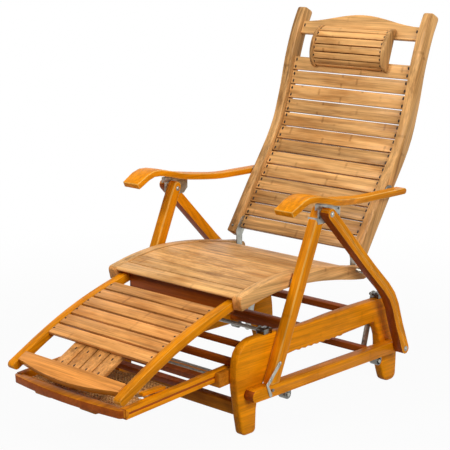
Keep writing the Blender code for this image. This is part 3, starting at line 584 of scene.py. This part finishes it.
def bolt(radius, washer=1.5):
    """A domed bolt head on a washer."""
    piece = disc(radius * washer, radius * 0.24, 24)
    bpy.ops.mesh.inset(thickness=radius * (washer - 1.0))
    raise_face(radius * 0.3)
    for inset, rise in ((0.22, 0.2), (0.28, 0.12), (0.25, 0.03)):
        bpy.ops.mesh.inset(thickness=radius * inset)
        bpy.ops.transform.translate(value=(0.0, 0.0, radius * rise))
    leave()
    round_edges(piece, radius * 0.06, 2, 50.0)
    return piece


def nut(radius):
    """A hexagon nut with the end of its thread standing out."""
    piece = disc(radius, radius * 0.8, 6)
    bpy.ops.mesh.inset(thickness=radius * 0.36)
    raise_face(radius * 0.35)
    bpy.ops.mesh.inset(thickness=radius * 0.12)
    bpy.ops.transform.translate(value=(0.0, 0.0, radius * 0.1))
    leave()
    round_edges(piece, radius * 0.08, 2, 25.0)
    return piece


def studs(name, body, finish, pattern, spots):
    """Copies of a fastener as one piece. A spot is its place, the way it looks and the way it lies."""
    made = []
    for place, normal, way in spots:
        copy = pattern.copy()
        copy.data = pattern.data.copy()
        bpy.context.scene.collection.objects.link(copy)
        copy.matrix_world = turned(place, way, normal.cross(way), normal)
        made.append(copy)
    bpy.data.objects.remove(pattern, do_unlink=True)
    whole = joined(made, name)
    settle(whole)
    return paint_piece(whole, finish, body)


# Operators

class CHAIR_OT_base(bpy.types.Operator):
    """Base sides, the stained bars that join them and the stool's track"""
    bl_idname = "chair.base"
    bl_label = "Base"

    # The lowest and the highest corner of each cross bar, along Y and Z
    CROSS_BARS = {"base_cross_bar_low": ((-0.224, 0.183), (-0.204, 0.201)),
                  "base_cross_bar_high": ((-0.197, 0.226), (-0.177, 0.240))}
    TOP_BAR_SHARE = 0.52
    TRACK_ROUND = 0.007

    def execute(self, context):
        sizes = context.scene.chair_sizes
        for label in SIDES:
            board("base_side_" + label, "base", "amber", Y, sizes.arris * 1.6, 3,
                  lambda piece: self.feet(piece, sizes))
        board("base_front_bar", "base", "umber", X, sizes.slat_arris * 2)
        for node in ("base_top_bar_front", "base_top_bar_rear"):
            board(node, "base", "russet", X, sizes.slat_arris * 2, shape=self.planed)
        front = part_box("stool_track")[0].y
        board("stool_track", "base", "umber", X, sizes.slat_arris,
              shape=lambda piece: soften(piece, self.TRACK_ROUND,
                                         lambda p: p.y < front + 0.004 and abs(p.x) > 0.2))
        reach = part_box("base_front_bar")[1].x
        for name, (low, high) in self.CROSS_BARS.items():
            bar(name, "base", "russet", (-reach, *low), (reach, *high), X, sizes.slat_arris * 2)
        return {"FINISHED"}

    def planed(self, piece):
        """Planes a top bar down to about half its height from below."""
        top = max(v.co.z for v in piece.data.vertices)
        activate(piece)
        enter()
        bpy.ops.transform.resize(value=(1.0, 1.0, self.TOP_BAR_SHARE), center_override=(0.0, 0.0, top))
        leave()

    def feet(self, piece, sizes):
        """Rounds the soles: the front feet a little, the rear feet nearly to a half circle."""
        soften(piece, sizes.foot_round, lambda p: p.z < 0.001 and p.y < 0.0)
        soften(piece, sizes.foot_round * 1.5, lambda p: p.z < 0.001 and p.y > 0.0, 6)


class CHAIR_OT_glider(bpy.types.Operator):
    """Pivot rods with their saddles, screws and nuts, and the two swing yokes"""
    bl_idname = "chair.glider"
    bl_label = "Glider"

    SADDLE_START = 0.205          # The saddles lie further out than this
    ROD_CUT, YOKE_CUT = 0.212, 0.214
    SCREW_EDGE, SCREW_END = 0.0045, 0.012

    def execute(self, context):
        sizes = context.scene.chair_sizes
        spots = []
        rod = plate("front_pivot_rod", "base")
        second_finish(rod, "gunmetal", lambda p, n: abs(p.x) > self.SADDLE_START)
        self.stubs("rear_pivot_rod", "base", "gunmetal", self.ROD_CUT, sizes)
        for node in ("front_pivot_rod", "rear_pivot_rod"):
            low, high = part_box(node)
            for side in SIDES.values():
                for y in (low.y + self.SCREW_EDGE, high.y - self.SCREW_EDGE):
                    spots.append((Vector((side * (high.x - self.SCREW_END), y, high.z)), Z, X))
        studs("saddle_screws", "base", "dark_steel", bolt(sizes.screw_radius, 1.2), spots)
        plate("front_swing_yoke", "front_yoke")
        self.stubs("rear_swing_yoke", "rear_yoke", "steel", self.YOKE_CUT, sizes)
        heart = PIVOTS["rear_yoke"]
        spots = [(Vector((side * self.ROD_CUT, heart.y, heart.z)), X * -side, Y) for side in SIDES.values()]
        studs("pivot_nuts", "base", "gunmetal", nut(sizes.bolt_radius), spots)
        return {"FINISHED"}

    def stubs(self, node, body, finish, reach, sizes):
        """The two ends of a rod with what they carry, and no rod between them."""
        halves = []
        for label, side in SIDES.items():
            half = node_copy(node, node + "_" + label)
            enter()
            bpy.ops.mesh.bisect(plane_co=(side * reach, 0.0, 0.0), plane_no=(-side, 0.0, 0.0),
                                use_fill=True, clear_outer=True)
            leave()
            halves.append(half)
        whole = joined(halves, "dressed_" + node)
        round_edges(whole, sizes.plate_arris, 2, 40.0)
        paint_piece(whole, finish, body, node)


class CHAIR_OT_legs(bpy.types.Operator):
    """Lower rails and the bar between them, front and rear legs, lock hooks and their bolts"""
    bl_idname = "chair.legs"
    bl_label = "Legs"

    CROSS_BAR = ((0.276, 0.112), (0.300, 0.130))   # Lowest and highest corner along Y and Z
    RAIL_BOTTOM, RAIL_OUTSIDE = 0.0957, 0.2852     # The lugs and pins lie past these
    LEG_INSIDE = 0.2879                            # The washers lie inside this
    NOSE = 0.012                                   # Depth of the rails' stained front ends
    GROOVE_MARGIN = 0.0125
    TOP_BOLT = 0.0145                              # From the rear leg's top and front
    FRONT_BOLT = Vector((0.0, 0.054, 0.550))

    def execute(self, context):
        sizes = context.scene.chair_sizes
        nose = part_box("lower_rail_left")[0].y + self.NOSE
        for label, side in SIDES.items():
            # The edge finish is a painted highlight on the rounded arrises of the rails and legs.
            rail = board("lower_rail_" + label, "carriage", "amber", Y, sizes.arris, edge="pale")
            second_finish(rail, "russet", lambda p, n: p.y < nose and n.y < -0.3)
            second_finish(rail, "gunmetal",
                          lambda p, n: p.z < self.RAIL_BOTTOM or abs(p.x) > self.RAIL_OUTSIDE)
            board("front_leg_" + label, "front_legs", "amber", chord("front_leg_" + label), sizes.arris,
                  edge="pale")
            leg = board("rear_leg_" + label, "rear_legs", "amber", chord("rear_leg_" + label), sizes.arris,
                        shape=lambda piece: groove(piece, side, self.GROOVE_MARGIN, sizes.groove_depth),
                        edge="pale")
            # Painted shade: the rear leg's faces that look forward and down take the darker russet, as they
            # lie in shade.
            second_finish(leg, "russet", lambda p, n: n.y < -0.3 and n.z < 0.2 and abs(n.x) < 0.5)
            second_finish(leg, "steel", lambda p, n: abs(p.x) < self.LEG_INSIDE)
            plate("lock_hook_" + label, "hook_" + label)
        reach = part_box("lower_rail_left")[0].x
        low, high = self.CROSS_BAR
        bar("carriage_cross_bar", "carriage", "russet", (-reach, *low), (reach, *high), X,
            sizes.slat_arris * 2)
        pivot = PIVOTS["rear_legs"]
        low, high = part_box("rear_leg_left")
        spots = [(Vector((side * high.x, y, z)), X * side, Y) for side in SIDES.values()
                 for y, z in ((pivot.y, pivot.z), (low.y + self.TOP_BOLT, high.z - self.TOP_BOLT))]
        studs("rear_leg_bolts", "rear_legs", "steel", bolt(sizes.bolt_radius), spots)
        spots = [(*landing("front_leg_" + label, self.FRONT_BOLT, X * side), Y)
                 for label, side in SIDES.items()]
        studs("front_leg_bolts", "front_legs", "steel", bolt(sizes.bolt_radius, 1.35), spots)
        pin = PIVOTS["hook_left"]
        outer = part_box("lock_hook_left")[1].x
        for label, side in SIDES.items():
            studs("hook_bolt_" + label, "hook_" + label, "steel", bolt(sizes.screw_radius, 1.3),
                  [(Vector((side * outer, pin.y, pin.z)), X * side, Y)])
        return {"FINISHED"}


class CHAIR_OT_seat(bpy.types.Operator):
    """Seat rails, the front slat, the panel of fine strips and the bar under it"""
    bl_idname = "chair.seat"
    bl_label = "Seat"

    CROSS_BAR = ((-0.188, -0.200, 0.314), (0.188, -0.180, 0.3608))
    NOSE, NOSE_ROUND = 0.012, 0.011
    RAIL_OUTSIDE = 0.2494   # The pins and washers lie past this
    STRIP_ARRIS = 0.0008

    def execute(self, context):
        sizes = context.scene.chair_sizes
        for label in SIDES:
            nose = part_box("seat_rail_" + label)[0].y
            rail = board("seat_rail_" + label, "seat", "honey", Y, sizes.arris * 1.3, 3,
                         lambda piece: soften(piece, self.NOSE_ROUND, lambda p: p.y < nose + self.NOSE / 2))
            second_finish(rail, "tan", lambda p, n: p.y < nose + self.NOSE and n.y < -0.5)
            second_finish(rail, "steel", lambda p, n: abs(p.x) > self.RAIL_OUTSIDE)
        board("seat_front_slat", "seat", "honey", X, sizes.slat_arris)
        low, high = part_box("seat_panel")
        count = round((high.y - low.y) / sizes.seat_strip)
        pitch = (high.y - low.y) / count
        strips = []
        for k in range(count):
            strip = node_copy("seat_panel", f"seat_strip_{k:02d}")
            enter()
            for y, way in ((low.y + k * pitch + sizes.seat_seam / 2, -1.0),
                           (low.y + (k + 1) * pitch - sizes.seat_seam / 2, 1.0)):
                bpy.ops.mesh.select_all(action="SELECT")
                bpy.ops.mesh.bisect(plane_co=(0.0, y, 0.0), plane_no=(0.0, way, 0.0), use_fill=True,
                                    clear_outer=True)
            bpy.ops.mesh.select_all(action="SELECT")
            bpy.ops.transform.translate(value=(0.0, 0.0, -sizes.seat_drop))
            leave()
            round_edges(strip, self.STRIP_ARRIS, 1)
            lay_grain(strip, X, chance(f"strip {k}"), "seat_panel")
            strips.append(strip)
        paint_piece(joined(strips, "seat_strips"), "seat", "seat", "seat_panel")
        bar("seat_cross_bar", "seat", "russet", *self.CROSS_BAR, X, sizes.slat_arris)
        return {"FINISHED"}


class CHAIR_OT_back(bpy.types.Operator):
    """Back rails, slats, crest rail, hinge plates and the plugs at the slats' ends"""
    bl_idname = "chair.back"
    bl_label = "Back"

    RAIL_TOP = 0.035             # Height of the rails' rounded tops
    PLUG = (0.0028, 1.8)         # A plug's radius and stretch
    PLUG_SPREAD = 0.011          # Half the distance between the two plugs of an end
    CREST_PLUG = 0.030           # Height of the crest rail's plugs above its lower edge
    SCREW_X, SCREW_Z = 0.234, 0.412

    def execute(self, context):
        sizes = context.scene.chair_sizes
        for label in SIDES:
            node = "back_rail_" + label
            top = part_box(node)[1].z
            board(node, "back", "honey", chord(node), sizes.arris,
                  shape=lambda piece: soften(piece, sizes.rail_round, lambda p: p.z > top - self.RAIL_TOP))
            plate("back_hinge_" + label, "back_hinges")
        spots = []
        for node in BACK_SLATS:
            board(node, "back", "honey", X, sizes.slat_arris)
            middle, normal = flat_face(node, -Y)
            up = X.cross(normal).normalized()
            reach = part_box(node)[1].x - sizes.plug_inset
            for side in SIDES.values():
                for offset in (-self.PLUG_SPREAD, self.PLUG_SPREAD):
                    spots.append((Vector((side * reach, middle.y, middle.z)) + up * offset, normal, up))
        board("crest_rail", "back", "honey", X, sizes.slat_arris * 1.5, 3)
        low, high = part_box("crest_rail")
        for side in SIDES.values():
            start = Vector((side * (high.x - sizes.plug_inset), -1.0, low.z + self.CREST_PLUG))
            place, normal = landing("crest_rail", start, Y)
            spots.append((place, normal, X.cross(normal).normalized()))
        studs("slat_plugs", "back", "dark_steel", wood_screw(*self.PLUG), spots)
        spots = [(*landing("back_rail_" + label, Vector((side * self.SCREW_X, -1.0, self.SCREW_Z)), Y), X)
                 for label, side in SIDES.items()]
        studs("back_rail_screws", "back", "gunmetal", bolt(sizes.screw_radius, 1.2), spots)
        return {"FINISHED"}


class CHAIR_OT_headrest(bpy.types.Operator):
    """Headrest: two D-shaped ends with eight slats let in between them over a core whose front is painted
    dark as shade in the gaps
    """
    bl_idname = "chair.headrest"
    bl_label = "Headrest"

    SLATS = 8
    THICKNESS, CROWN, GAP, SLAT_ARRIS = 0.005, 0.0009, 0.0034, 0.0012
    CORE = (1.0, 0.86, 0.90)     # The core's share of the node's size
    LIFT = 0.001                 # How far the slats stand out from the node's curve
    PLUG, PLUG_INSET = (0.0017, 2.0), 0.002   # A plug's radius and stretch, and its place from the end

    def execute(self, context):
        sizes = context.scene.chair_sizes
        for label in SIDES:
            board("headrest_end_" + label, "back", "honey", Z, sizes.arris, 3)
        seat, normal = flat_face("headrest_slats", Y)
        out = -normal
        up = X.cross(out)
        if up.z < 0.0:
            up = -up
        points = [v.co - seat for v in NODES["headrest_slats"].data.vertices]
        half = max(p.dot(up) for p in points)
        depth = max(p.dot(out) for p in points)
        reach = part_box("headrest_slats")[1].x
        core = node_copy("headrest_slats", "headrest_core")
        enter()
        bpy.ops.transform.resize(value=self.CORE, center_override=seat)
        leave()
        round_edges(core, sizes.plate_arris)
        # Painted shade: the core's front, seen only through the gaps between the slats, is dark russet with a
        # low tone; its back is honey.
        lay_grain(core, X, -1.0)
        paint_piece(core, "russet", "back", "headrest_slats")
        second_finish(core, "honey", lambda p, n: n.y > 0.5)
        spots = []
        for k in range(self.SLATS):
            ends = []
            for angle in (math.pi * k / self.SLATS, math.pi * (k + 1) / self.SLATS):
                ends.append(seat - up * half * math.cos(angle) + out * (self.LIFT + depth * math.sin(angle)))
            ends = [Vector((0.0, p.y, p.z)) for p in ends]
            across = (ends[1] - ends[0]).normalized()
            face = X.cross(across)
            last = self.SLATS - 1
            if face.dot(out) < 0.0 or (k in (0, last) and face.dot(up * (k - last / 2)) < 0.0):
                face = -face
            wide = (ends[1] - ends[0]).length - self.GAP
            slat = cuboid(f"headrest_slat_{k + 1}", (2.0 * reach, wide, self.THICKNESS))
            pick(slat, lambda f: f.normal.z > 0.9)
            bpy.ops.mesh.inset(thickness=wide * 0.28)
            bpy.ops.transform.translate(value=(0.0, 0.0, self.CROWN))
            leave()
            middle = (ends[0] + ends[1]) / 2 - face * (self.THICKNESS / 2)
            settle(slat, turned(middle, X, face.cross(X), face))
            round_edges(slat, self.SLAT_ARRIS, 2, 20.0)
            lay_grain(slat, X, 0.4 + 0.9 * chance(slat.name))
            paint_piece(slat, "honey", "back")
            proud = middle + face * (self.THICKNESS / 2 + self.CROWN)
            spots += [(proud + X * side * (reach - self.PLUG_INSET), face, across) for side in SIDES.values()]
        studs("headrest_plugs", "back", "dark_steel", wood_screw(*self.PLUG), spots)
        return {"FINISHED"}


class CHAIR_OT_arms(bpy.types.Operator):
    """Arms, their pivot plates, the sheet-metal brackets and the strap"""
    bl_idname = "chair.arms"
    bl_label = "Arms"

    STRAP_WIDTH, STRAP_RISE, STRAP_PROUD = 0.010, 0.007, 0.0018
    WRAP_SIDE, WRAP_PROUD, WRAP_SUNK = 0.0012, 0.0016, 0.004   # The strap's end round the leg
    WEB_FRONT, WEB_REAR, WEB_HEIGHT = 0.012, 0.004, 0.017
    RIVET_SUNK = 0.0009
    # A bracket's rivets: one from its front and foot, two from its rear and top
    FRONT_RIVET, REAR_RIVETS = (0.006, 0.018), ((0.008, 0.008), (0.008, 0.026))

    def execute(self, context):
        sizes = context.scene.chair_sizes
        for label in SIDES:
            # The edge finish is a painted highlight on the arms' rounded arrises.
            board("arm_" + label, "arms", "amber", Y, sizes.arris * 1.2, 3, edge="pale")
            plate("arm_pivot_" + label, "arm_pivots", "gunmetal")
            plate("arm_bracket_" + label, "arms")
            self.web(label, sizes)
        self.stirrup(sizes)
        low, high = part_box("arm_bracket_left")
        places = [(low.y + self.FRONT_RIVET[0], low.z + self.FRONT_RIVET[1])]
        places += [(high.y - back, high.z - down) for back, down in self.REAR_RIVETS]
        spots = [(Vector((side * (high.x - self.RIVET_SUNK), y, z)), X * side, Y)
                 for side in SIDES.values() for y, z in places]
        studs("bracket_rivets", "arms", "dark_steel", wood_screw(sizes.screw_radius), spots)
        return {"FINISHED"}

    def web(self, label, sizes):
        """The bracket's sheet up to the arm."""
        low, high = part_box("arm_bracket_" + label)
        piece = block("bracket_web_" + label, (low.x, low.y - self.WEB_FRONT, high.z),
                      (high.x, high.y - self.WEB_REAR, high.z + self.WEB_HEIGHT), Y, sizes.plate_arris)
        paint_piece(piece, "steel", "arms")

    def stirrup(self, sizes):
        """The strap of the left bracket round the top of its front leg."""
        low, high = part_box("arm_bracket_left")
        inner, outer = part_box("front_leg_left")[0].x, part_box("front_leg_left")[1].x
        foot = low.z + self.STRAP_RISE
        top = foot + self.STRAP_WIDTH
        front = landing("front_leg_left", Vector(((inner + outer) / 2, -1.0, foot + 0.009)), Y)[0].y
        piece = block("bracket_strap", (low.x, front - self.STRAP_PROUD, foot), (high.x, low.y, top), Y,
                      sizes.plate_arris)
        paint_piece(piece, "steel", "arms")
        piece = block("leg_strap", (inner - self.WRAP_SIDE, front - self.WRAP_PROUD, foot),
                      (outer, front + self.WRAP_SUNK, top), X, sizes.plate_arris)
        paint_piece(piece, "steel", "front_legs")


class CHAIR_OT_legrest(bpy.types.Operator):
    """Leg rest: rails, cross slats, the foot board and its plugs"""
    bl_idname = "chair.legrest"
    bl_label = "Leg rest"

    RAIL_OUTSIDE = 0.2158                  # The pivot pins lie past this
    SCREW_INSET = 0.005
    FRONT_PIECE = 0.047                    # Depth of the foot board's front piece
    SLATS, SLAT_PITCH = 4, 0.046           # Of the foot board
    PLUG = (0.0021, 2.2)                   # A plug's radius and stretch
    PLUG_ROWS = (0.066, 0.112)             # From the foot board's front

    def execute(self, context):
        sizes = context.scene.chair_sizes
        for label in SIDES:
            node = "legrest_rail_" + label
            # The edge finish is a painted highlight on the rails' rounded arrises.
            rail = board(node, "legrest", "amber", chord(node), sizes.arris, edge="pale")
            second_finish(rail, "steel", lambda p, n: abs(p.x) > self.RAIL_OUTSIDE)
        spots = []
        for node in LEGREST_SLATS:
            board(node, "legrest", "tan", X, sizes.slat_arris)
            middle, normal = flat_face(node, Z)
            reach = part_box(node)[1].x - self.SCREW_INSET
            spots += [(middle + X * side * reach, normal, X) for side in SIDES.values()]
        studs("legrest_screws", "legrest", "dark_steel", wood_screw(sizes.screw_radius * 0.8), spots)
        foot = board("foot_board", "legrest", "tan", Y, sizes.slat_arris)
        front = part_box("foot_board")[0].y
        rear = front + self.FRONT_PIECE
        lay_grain(foot, X, 0.0, "front_piece", lambda p, n: p.y < rear)
        second_finish(foot, "cinnamon", lambda p, n: p.y < rear)
        # Painted shade: the front piece's faces that look forward and down take the darker umber.
        second_finish(foot, "umber", lambda p, n: p.y < rear + 0.003 and n.y < -0.2 and n.z < 0.6)
        spots = []
        for k in range(self.SLATS):
            x = self.SLAT_PITCH * (k - (self.SLATS - 1) / 2)
            for row in self.PLUG_ROWS:
                place, normal = landing("foot_board", Vector((x, front + row, 0.6)), -Z)
                spots.append((place, normal, X.cross(normal)))
        studs("foot_slat_plugs", "legrest", "dark_steel", wood_screw(*self.PLUG), spots)
        return {"FINISHED"}


class CHAIR_OT_stool(bpy.types.Operator):
    """Stool: its frame, the bead roller between two trays of beads, a steel rod, a stop and two toes"""
    bl_idname = "chair.stool"
    bl_label = "Stool"

    REACH = 0.1872                             # Half the length of what lies between the rails
    RAIL_INSIDE = 0.1865                       # The frame's cross bars lie within this
    FRONT_BOARD = 0.034                        # Depth of the front board
    CORNER_ROUND, GROOVE_MARGIN = 0.012, 0.0095
    # The middle of each tray along the slide from the roller, and the tray's length
    TRAYS = {"front": (-0.070, 0.106), "rear": (0.050, 0.066)}
    TRAY_THICKNESS, TRAY_DROP, TRAY_ARRIS = 0.006, 0.007, 0.0008
    TRAY_RIM, TRAY_SUNK = 0.004, 0.002
    BEAD_PITCH, BEAD_RISE = 2.02, 0.8          # In radii
    BEAD_MARGIN, BEAD_SHARE = 0.005, 0.86      # Round a field of beads; of a bead's height in its width
    ROD_PLACE, ROD_RADIUS, ROD_ARRIS = 0.200, 0.003, 0.0003
    # Corners of the stop from the roller's axis, and of a toe from its place on the front board
    STOP = (Vector((0.170, -0.040, 0.0145)), Vector((0.1879, 0.036, 0.0225)))
    TOE = (Vector((-0.032, -0.010, -0.006)), Vector((0.032, 0.010, 0.010)))
    TOE_X, TOE_Y, TOE_ROUND = 0.086, 0.021, 0.0075

    def execute(self, context):
        sizes = context.scene.chair_sizes
        low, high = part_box("stool_frame")
        rear = low.y + self.FRONT_BOARD
        # The edge finish is a painted highlight on the frame's rounded arrises.
        whole = board("stool_frame", "stool", "amber", Y, sizes.slat_arris, edge="pale",
                      shape=lambda piece: self.frame_shape(piece, sizes, low, high))
        second_finish(whole, "umber", lambda p, n: p.y < rear)
        second_finish(whole, "russet", lambda p, n: p.y < rear and n.y < -0.3)
        second_finish(whole, "russet", lambda p, n: abs(p.x) < self.RAIL_INSIDE and p.y > low.y + 0.05)
        # Painted shade: the floor of each rail's groove takes the darker russet, as shade falls in the
        # recess.
        sunk = high.x - sizes.groove_depth * 0.5
        second_finish(whole, "russet", lambda p, n: high.x - 0.004 < abs(p.x) < sunk
                      and p.x * n.x > 0.1 and p.y > rear)
        board("bead_roller", "roller", "honey", X, sizes.plate_arris)
        slide = next(Vector(joint["axis"]) for joint in frame["joints"] if joint["name"] == "stool_slide")
        rise = X.cross(slide)
        heart = Vector((0.0, PIVOTS["roller"].y, PIVOTS["roller"].z))
        for label, (place, length) in self.TRAYS.items():
            self.tray(sizes, label, heart + slide * place, slide, rise, length)
        self.rod(heart + slide * self.ROD_PLACE, slide)
        bar("stool_stop", "stool", "amber", *(heart + corner for corner in self.STOP), Y, sizes.slat_arris)
        for label, side in SIDES.items():
            middle = Vector((side * self.TOE_X, low.y + self.TOE_Y, low.z))
            bar("stool_toe_" + label, "stool", "umber", *(middle + corner for corner in self.TOE), X,
                self.TOE_ROUND)
        return {"FINISHED"}

    def frame_shape(self, piece, sizes, low, high):
        """Rounds the two front corners and runs a groove along each rail."""
        activate(piece)
        enter()
        pick(piece, lambda e: abs((e.verts[1].co - e.verts[0].co).normalized().z) > 0.9
             and all(abs(v.co.x) > high.x - 0.003 and v.co.y < low.y + 0.020 for v in e.verts), "EDGE")
        bpy.ops.mesh.bevel(offset=self.CORNER_ROUND, segments=5, affect="EDGES", clamp_overlap=True)
        leave()
        for side in SIDES.values():
            groove(piece, side, self.GROOVE_MARGIN, sizes.groove_depth)

    def tray(self, sizes, label, middle, slide, rise, length):
        """A floor of the stool beside the roller, with rows of beads on it."""
        middle = middle - rise * self.TRAY_DROP
        floor = cuboid("bead_tray_" + label, (2 * self.REACH, length, self.TRAY_THICKNESS))
        pick(floor, lambda f: f.normal.z > 0.9)
        bpy.ops.mesh.inset(thickness=self.TRAY_RIM)
        raise_face(-self.TRAY_SUNK)
        leave()
        settle(floor, turned(middle, X, slide, rise))
        round_edges(floor, self.TRAY_ARRIS)
        lay_grain(floor, X, -0.5)
        paint_piece(floor, "russet", "stool")
        radius = sizes.bead_radius
        pitch = self.BEAD_PITCH * radius
        rows = int((length - 2 * self.BEAD_MARGIN) / pitch)
        columns = int(2 * (self.REACH - self.BEAD_MARGIN) / pitch)
        bpy.ops.mesh.primitive_uv_sphere_add(segments=8, ring_count=5, radius=radius)
        pattern = bpy.context.object
        enter()
        bpy.ops.transform.resize(value=(1.0, 1.0, self.BEAD_SHARE))
        leave()
        bpy.ops.object.shade_smooth()
        height = 0.001 + self.BEAD_RISE * radius
        spots = []
        for row in range(rows):
            for column in range(columns):
                x = (column - (columns - 1) / 2) * pitch
                y = (row - (rows - 1) / 2) * pitch
                spots.append((middle + X * x + slide * y + rise * height, rise, X))
        beads = studs("tray_beads_" + label, "stool", "honey", pattern, spots)
        lay_grain(beads, X, 0.0)

    def rod(self, middle, slide):
        """A thin steel rod across the stool, with its ends let in a little."""
        bpy.ops.mesh.primitive_cylinder_add(vertices=12, radius=self.ROD_RADIUS, depth=2 * self.REACH)
        piece = bpy.context.object
        piece.name = "stool_rod"
        piece.data.name = "stool_rod"
        enter()
        pick(piece, lambda f: abs(f.normal.z) > 0.9)
        bpy.ops.mesh.inset(thickness=0.001, use_individual=True)
        leave()
        settle(piece, turned(middle, slide, slide.cross(X), -X))
        round_edges(piece, self.ROD_ARRIS, 2, 50.0)
        paint_piece(piece, "steel", "stool")


class CHAIR_OT_stage(bpy.types.Operator):
    """Pale floor, soft light and the camera"""
    bl_idname = "chair.stage"
    bl_label = "Stage"

    # Place, size in metres and power in watts of each lamp
    LAMPS = {"key": ((-1.2, -3.2, 3.4), 1.2, 90.0), "fill": ((3.8, -1.0, 2.2), 1.8, 106.0),
             "top": ((0.2, -0.6, 3.6), 1.2, 32.0), "rim": ((0.6, 3.2, 3.0), 2.4, 34.0)}
    LAMPS_AIM = Vector((0.0, 0.0, 0.45))
    WHITE = (1.0, 1.0, 1.0, 1.0)
    PAPER = (0.34, 0.34, 0.34, 1.0)
    NEAR_WHITE = 0.955           # The floor's white near the chair
    FADE = (0.9, 2.4)            # Between these distances it becomes full white
    SKY = 0.18                   # The world's light on the chair
    CAMERA_PLACE = (2.508, -2.6691, 1.280)
    CAMERA_TURN, CAMERA_TILT = math.radians(43.4), math.radians(12.2)
    LENS, SENSOR = 109.28, 36.0

    def seen(self, paint):
        """1 for what the camera sees, directly or mirrored, and 0 for what lights the chair."""
        rays = paint.node("ShaderNodeLightPath", {}, {}, "Is Camera Ray")
        return rays + rays.out("Is Glossy Ray") + rays.out("Is Transmission Ray")

    def execute(self, context):
        self.floor()
        self.world(context.scene)
        self.lamps()
        self.camera(context.scene)
        context.scene.view_settings.view_transform = "Standard"
        return {"FINISHED"}

    def floor(self):
        """A floor that looks white and lights the chair like grey paper."""
        bpy.ops.mesh.primitive_plane_add(size=40.0, location=(0.0, 0.0, -0.0005))
        floor = bpy.context.object
        floor.name = "floor"
        material, paint = new_material("floor_paper")
        where = paint.node("ShaderNodeTexCoord", {}, {}, "Object")
        away = paint.node("ShaderNodeVectorMath", {"operation": "LENGTH"}, {0: where}, "Value")
        white = self.NEAR_WHITE + away.between(*self.FADE) * (1.0 - self.NEAR_WHITE)
        paper = paint.node("ShaderNodeBsdfDiffuse", {}, {"Color": self.PAPER})
        glow = paint.node("ShaderNodeEmission", {}, {"Color": self.WHITE, "Strength": 1.0})
        mix = paint.node("ShaderNodeMixShader", {}, {0: self.seen(paint) * white, 1: paper, 2: glow})
        floor.data.materials.append(close_material(material, mix))

    def world(self, scene):
        """A world that looks white and lights the chair a little."""
        world = bpy.data.worlds.new("studio")
        scene.world = world
        world.use_nodes = True
        tree = world.node_tree
        tree.nodes.clear()
        paint = Paint(tree)
        strength = self.SKY + self.seen(paint) * (1.0 - self.SKY)
        sky = paint.node("ShaderNodeBackground", {}, {"Color": self.WHITE, "Strength": strength})
        end = tree.nodes.new("ShaderNodeOutputWorld")
        tree.links.new(sky.socket, end.inputs["Surface"])

    def lamps(self):
        for name, (place, size, energy) in self.LAMPS.items():
            bpy.ops.object.light_add(type="AREA", location=place)
            lamp = bpy.context.object
            lamp.name = name
            lamp.data.size = size
            lamp.data.energy = energy
            aim = self.LAMPS_AIM - Vector(place)
            lamp.rotation_euler = aim.to_track_quat("-Z", "Y").to_euler()

    def camera(self, scene):
        turn, tilt = self.CAMERA_TURN, self.CAMERA_TILT
        way = Vector((-math.sin(turn) * math.cos(tilt), math.cos(turn) * math.cos(tilt), -math.sin(tilt)))
        bpy.ops.object.camera_add(location=self.CAMERA_PLACE)
        camera = bpy.context.object
        camera.name = "camera"
        camera.rotation_euler = way.to_track_quat("-Z", "Y").to_euler()
        camera.data.sensor_width = self.SENSOR
        camera.data.lens = self.LENS
        scene.camera = camera


BUILDERS = (CHAIR_OT_base, CHAIR_OT_glider, CHAIR_OT_legs, CHAIR_OT_seat, CHAIR_OT_back, CHAIR_OT_headrest,
            CHAIR_OT_arms, CHAIR_OT_legrest, CHAIR_OT_stool, CHAIR_OT_stage)


class CHAIR_PT_panel(bpy.types.Panel):
    """The chair's builders and sizes"""
    bl_idname = "CHAIR_PT_panel"
    bl_label = "Folding Rocking Chair"
    bl_space_type = "VIEW_3D"
    bl_region_type = "UI"
    bl_category = "Chair"

    def draw(self, context):
        for builder in BUILDERS:
            self.layout.operator(builder.bl_idname)
        for group in (context.scene.chair_sizes, context.scene.chair_colours):
            for name in group.__annotations__:
                self.layout.prop(group, name)


CLASSES = (ChairSizes, ChairColours, *BUILDERS, CHAIR_PT_panel)


def register():
    for each in CLASSES:
        bpy.utils.register_class(each)
    bpy.types.Scene.chair_sizes = bpy.props.PointerProperty(type=ChairSizes)
    bpy.types.Scene.chair_colours = bpy.props.PointerProperty(type=ChairColours)


def unregister():
    del bpy.types.Scene.chair_colours
    del bpy.types.Scene.chair_sizes
    for each in reversed(CLASSES):
        bpy.utils.unregister_class(each)


def main():
    register()
    bpy.ops.chair.stage()
    bpy.ops.chair.base()
    bpy.ops.chair.glider()
    bpy.ops.chair.legs()
    bpy.ops.chair.seat()
    bpy.ops.chair.back()
    bpy.ops.chair.headrest()
    bpy.ops.chair.arms()
    bpy.ops.chair.legrest()
    bpy.ops.chair.stool()


if __name__ == "__main__":
    main()
